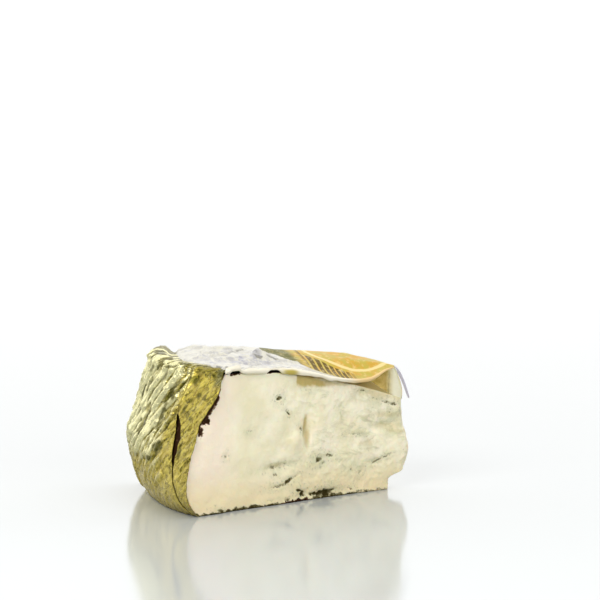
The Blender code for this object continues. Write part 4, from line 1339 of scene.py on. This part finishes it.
def whiteFoil(tree, flat):
    # white foil with painted lilac shade in its hollows, facets and along streaky creases, and painted
    # grey-olive shade on a few creases about the peak
    squeezed = vectorCalc(tree, "MULTIPLY", flat, (1.0, 0.35, 1.0))
    streaky = noiseOf(tree, squeezed, sheet["streaks"], 4.0, 0.65)
    lilacShade = scaled(tree, fieldOf(tree, "lilacShade"), 0.5, 0.45)
    hollowShade = times(tree, between(tree, fieldOf(tree, "push"), 0.7 * mm, -0.6 * mm), 0.45)
    facet = times(tree, between(tree, fieldOf(tree, "facet"), 0.5, 1.0), 0.85)
    hollowShade = calc(tree, "MAXIMUM", hollowShade, facet)
    white = layer(tree, sheetTones["white"], sheetTones["lavenderShade"], hollowShade, lilacShade)
    tinted = between(tree, streaky, 0.42, 0.6)
    white = layer(tree, white, sheetTones["lavenderShade"], tinted, less(tree, lilacShade, 0.45))
    greyShade = fieldOf(tree, "greyShade")
    frayed = scaled(tree, less(tree, streaky, 0.5), 1.2, greyShade)
    cover = times(tree, between(tree, frayed, 0.25, 0.8), between(tree, greyShade, 0.02, 0.3))
    white = layer(tree, white, sheetTones["greyShade"], cover, 0.65)
    return layer(tree, white, sheetTones["lavenderShade"], between(tree, creased(tree, streaky), 0.03, 0.0), 0.32)


def printedGold(tree, flat, x, y, away, wear):
    # gold towards the point and olive behind, with strokes across the band and a disc in a pale line
    patches = noiseOf(tree, flat, sheet["patches"], 3.0, 0.6)
    gold = blendColours(tree, between(tree, patches, 0.4, 0.62), sheetTones["gold"], sheetTones["orange"])
    gold = blendColours(tree, between(tree, x, *medallion["oliveFrom"]), gold, sheetTones["olive"])
    # the strokes stand closer together towards the wedge's point
    run = less(tree, scaled(tree, y, medallion["strokesLean"], x), medallion["strokesFrom"])
    first, then = medallion["strokesPerMetre"]
    cycles = times(tree, run, plus(tree, first, times(tree, run, then)))
    strokes = between(tree, calc(tree, "SINE", times(tree, cycles, 2 * math.pi)), -0.8, -0.3)
    soft = medallion["soft"]
    low, high = medallion["band"]
    start, end = medallion["strokesEnd"]
    inBand = times(
        tree, between(tree, away, low - soft, low + soft), between(tree, away, high + soft, high - soft)
    )
    inBand = times(tree, inBand, between(tree, run, 0.0, 3 * mm))
    inBand = times(tree, inBand, between(tree, x, end, start))
    printed = layer(tree, gold, sheetTones["stroke"], inBand, strokes)
    size, half = medallion["disc"], medallion["line"] / 2
    patchy = blendColours(
        tree, between(tree, patches, 0.42, 0.6), sheetTones["orange"], sheetTones["gold"]
    )
    printed = blendColours(tree, between(tree, away, size + soft, size - soft), printed, patchy)
    printed = layer(tree, printed, sheetTones["cream"], between(tree, wear, 0.5, 0.68), 0.45)
    beside = calc(tree, "ABSOLUTE", less(tree, away, size + half))
    line = between(tree, beside, half + soft, half - soft)
    return blendColours(tree, line, printed, sheetTones["cream"])


def sheetMaterial():
    material, tree, shader = newMaterial("printedFoil")
    flat = fieldOf(tree, "flat", "Vector")
    part = fieldOf(tree, "part")
    plan = vectorCalc(tree, "MULTIPLY", flat, (1, 1, 0))
    away = vectorCalc(tree, "LENGTH", vectorCalc(tree, "SUBTRACT", plan, (*medallion["centre"], 0)))
    x, y, _ = addNode(tree, "ShaderNodeSeparateXYZ", {0: flat}).outputs
    wear = noiseOf(tree, flat, sheet["wear"], 3.0, 0.6)
    # the olive field reaches back past the ring on the far side only
    outer, further = medallion["outer"]
    reach = scaled(tree, between(tree, y, *medallion["outerBack"]), further, outer)
    inPrint = between(tree, less(tree, away, reach), medallion["soft"], -medallion["soft"])
    printed = printedGold(tree, flat, x, y, away, wear)
    colour = blendColours(tree, inPrint, whiteFoil(tree, flat), printed)
    # the rolled lip is plain, peach towards the point, and shows a gold layer for a short way
    onLip = times(tree, between(tree, part, 0.1, 0.7), between(tree, part, 1.6, 1.2))
    peach = between(tree, x, -4.2 * cm, -2.6 * cm)
    rolled = blendColours(tree, peach, sheetTones["lip"], sheetTones["peach"])
    rolled = blendColours(tree, fieldOf(tree, "under"), rolled, sheetTones["gold"])
    colour = blendColours(tree, onLip, colour, rolled)
    colour = blendColours(tree, between(tree, part, 2.3, 2.8), colour, sheetTones["tail"])
    normal = bumpOf(tree, noiseOf(tree, flat, sheet["grain"], 3.0, 0.6), 0.15 * mm, 0.6)
    metal = plus(tree, 0.15, times(tree, inPrint, 0.3))
    rough = plus(tree, 0.34, times(tree, wear, 0.2))
    coat = less(tree, 0.4, times(tree, inPrint, 0.35))
    glossy = scaled(tree, inPrint, -0.4, 0.45)
    setShader(
        tree, shader, Base_Color=colour, Metallic=metal, Roughness=rough, Normal=normal,
        Specular_IOR_Level=glossy, Coat_Weight=coat, Coat_Roughness=0.12,
    )
    return material


def sheetBackMaterial():
    material, tree, shader = newMaterial("foilBack")
    place = objectPlace(tree)
    darkened = between(tree, noiseOf(tree, place, sheet["backWear"], 3.0, 0.6), 0.35, 0.7)
    colour = blendColours(tree, darkened, sheetTones["back"], sheetTones["backDark"])
    # it is thin where it wraps round the point and lets light through there, and is painted pale there as a
    # painted highlight
    ahead = vectorCalc(tree, "DOT_PRODUCT", fieldOf(tree, "flat", "Vector"), (0.951, -0.309, 0.0))
    pale = between(tree, ahead, *sheet["paintedLightFrom"])
    colour = blendColours(tree, pale, colour, sheetTones["paintedLitPale"])
    normal = bumpOf(tree, noiseOf(tree, place, sheet["backGrain"], 3.0, 0.6), 0.2 * mm, 0.5)
    setShader(
        tree, shader, Base_Color=colour, Metallic=scaled(tree, pale, -0.35, 0.35), Roughness=0.45,
        Normal=normal, Subsurface_Weight=times(tree, pale, 0.8),
        Subsurface_Radius=(1.0, 0.9, 0.6), Subsurface_Scale=3 * mm,
    )
    return material


printedSheet = makeSheet()
applyTree(printedSheet, crumple, {
    "Material": sheetMaterial(), "Crease size": 16 * mm, "Crease depth": 5.5 * mm, "Crease lean": -0.5,
    "Crease stretch": 1.6, "Dent size": 6 * mm, "Dent depth": 0.6 * mm, "Emboss depth": 0.08 * mm,
    "Least share": 0.0,
})
printedSheet.data.materials.append(sheetBackMaterial())
addWall(printedSheet, sheet["thickness"], 0.0, 1)
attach(printedSheet, "root")
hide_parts("sheet")
print("sheet made,", len(printedSheet.data.polygons), "faces")

# crumbs of paste that stand on the broken cuts
crumbs = {
    "perSquareMetre": 42000.0,
    "size": (0.16 * mm, 0.42 * mm),
    "seed": 17,
    "fade": (6.5 * cm, 10.5 * cm),
    "patches": 7 * mm,
}


def crumbTree():
    # scatters small squashed balls, turned and sized at random
    sizes = {"Density": 1000.0, "Smallest": 0.1 * mm, "Largest": 0.3 * mm}
    tree, start, end = newTree("scatterCrumbs", sizes)
    get = start.outputs

    def drawn(low, high, seed):
        inputs = {2: low, 3: high, "Seed": crumbs["seed"] + seed}
        return addNode(tree, "FunctionNodeRandomValue", inputs, data_type="FLOAT").outputs[1]

    amount = times(tree, storedField(tree, "loose"), get["Density"])
    inputs = {"Mesh": get["Geometry"], "Density": amount, "Seed": crumbs["seed"]}
    spots = addNode(tree, "GeometryNodeDistributePointsOnFaces", inputs).outputs
    ball = addNode(tree, "GeometryNodeMeshIcoSphere", {"Radius": 1.0, "Subdivisions": 1}).outputs[0]
    squash = {"Geometry": ball, "Scale": (1.3, 0.9, 0.6)}
    crumb = addNode(tree, "GeometryNodeTransform", squash).outputs[0]
    turn = {0: spots["Rotation"], "Angle": drawn(0.0, 6.28, 2), "Axis": (0, 0, 1)}
    turned = addNode(
        tree, "FunctionNodeRotateEuler", turn, rotation_type="AXIS_ANGLE", space="LOCAL"
    ).outputs[0]
    size = drawn(get["Smallest"], get["Largest"], 1)
    inputs = {"Points": spots["Points"], "Instance": crumb, "Rotation": turned, "Scale": size}
    finishTree(tree, start, end, addNode(tree, "GeometryNodeInstanceOnPoints", inputs).outputs[0])
    return tree


def makeCrumbs():
    piece = addObject("crumbs", wedge.data.copy())
    place = np.empty(len(piece.data.vertices) * 3)
    piece.data.vertices.foreach_get("co", place)
    place = place.reshape(-1, 3) - (wheel["axisX"], 0, 0)
    r = np.hypot(place[:, 0], place[:, 1])
    onCut = np.maximum(place[:, :2] @ nearOut, place[:, :2] @ farOut) > -6 * mm
    onCut = onCut * (r < 15 * cm) * (place[:, 2] < 0.9 * topHeight(place[:, :2])) * (place[:, 2] > 1 * mm)
    patchy = smooth(-0.1, 0.5, hills(place, crumbs["patches"], 51.0))
    loose = (1 - smooth(*crumbs["fade"], r)) * patchy * onCut
    piece.data.attributes.new("loose", "FLOAT", "POINT").data.foreach_set("value", loose.astype(np.float32))
    low, high = crumbs["size"]
    values = {"Density": crumbs["perSquareMetre"], "Smallest": low, "Largest": high}
    applyTree(piece, crumbTree(), {"Material": pasteBlue, **values})
    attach(piece, "root")
    return piece


loose = makeCrumbs()
print("crumbs made,", len(loose.data.polygons), "faces")
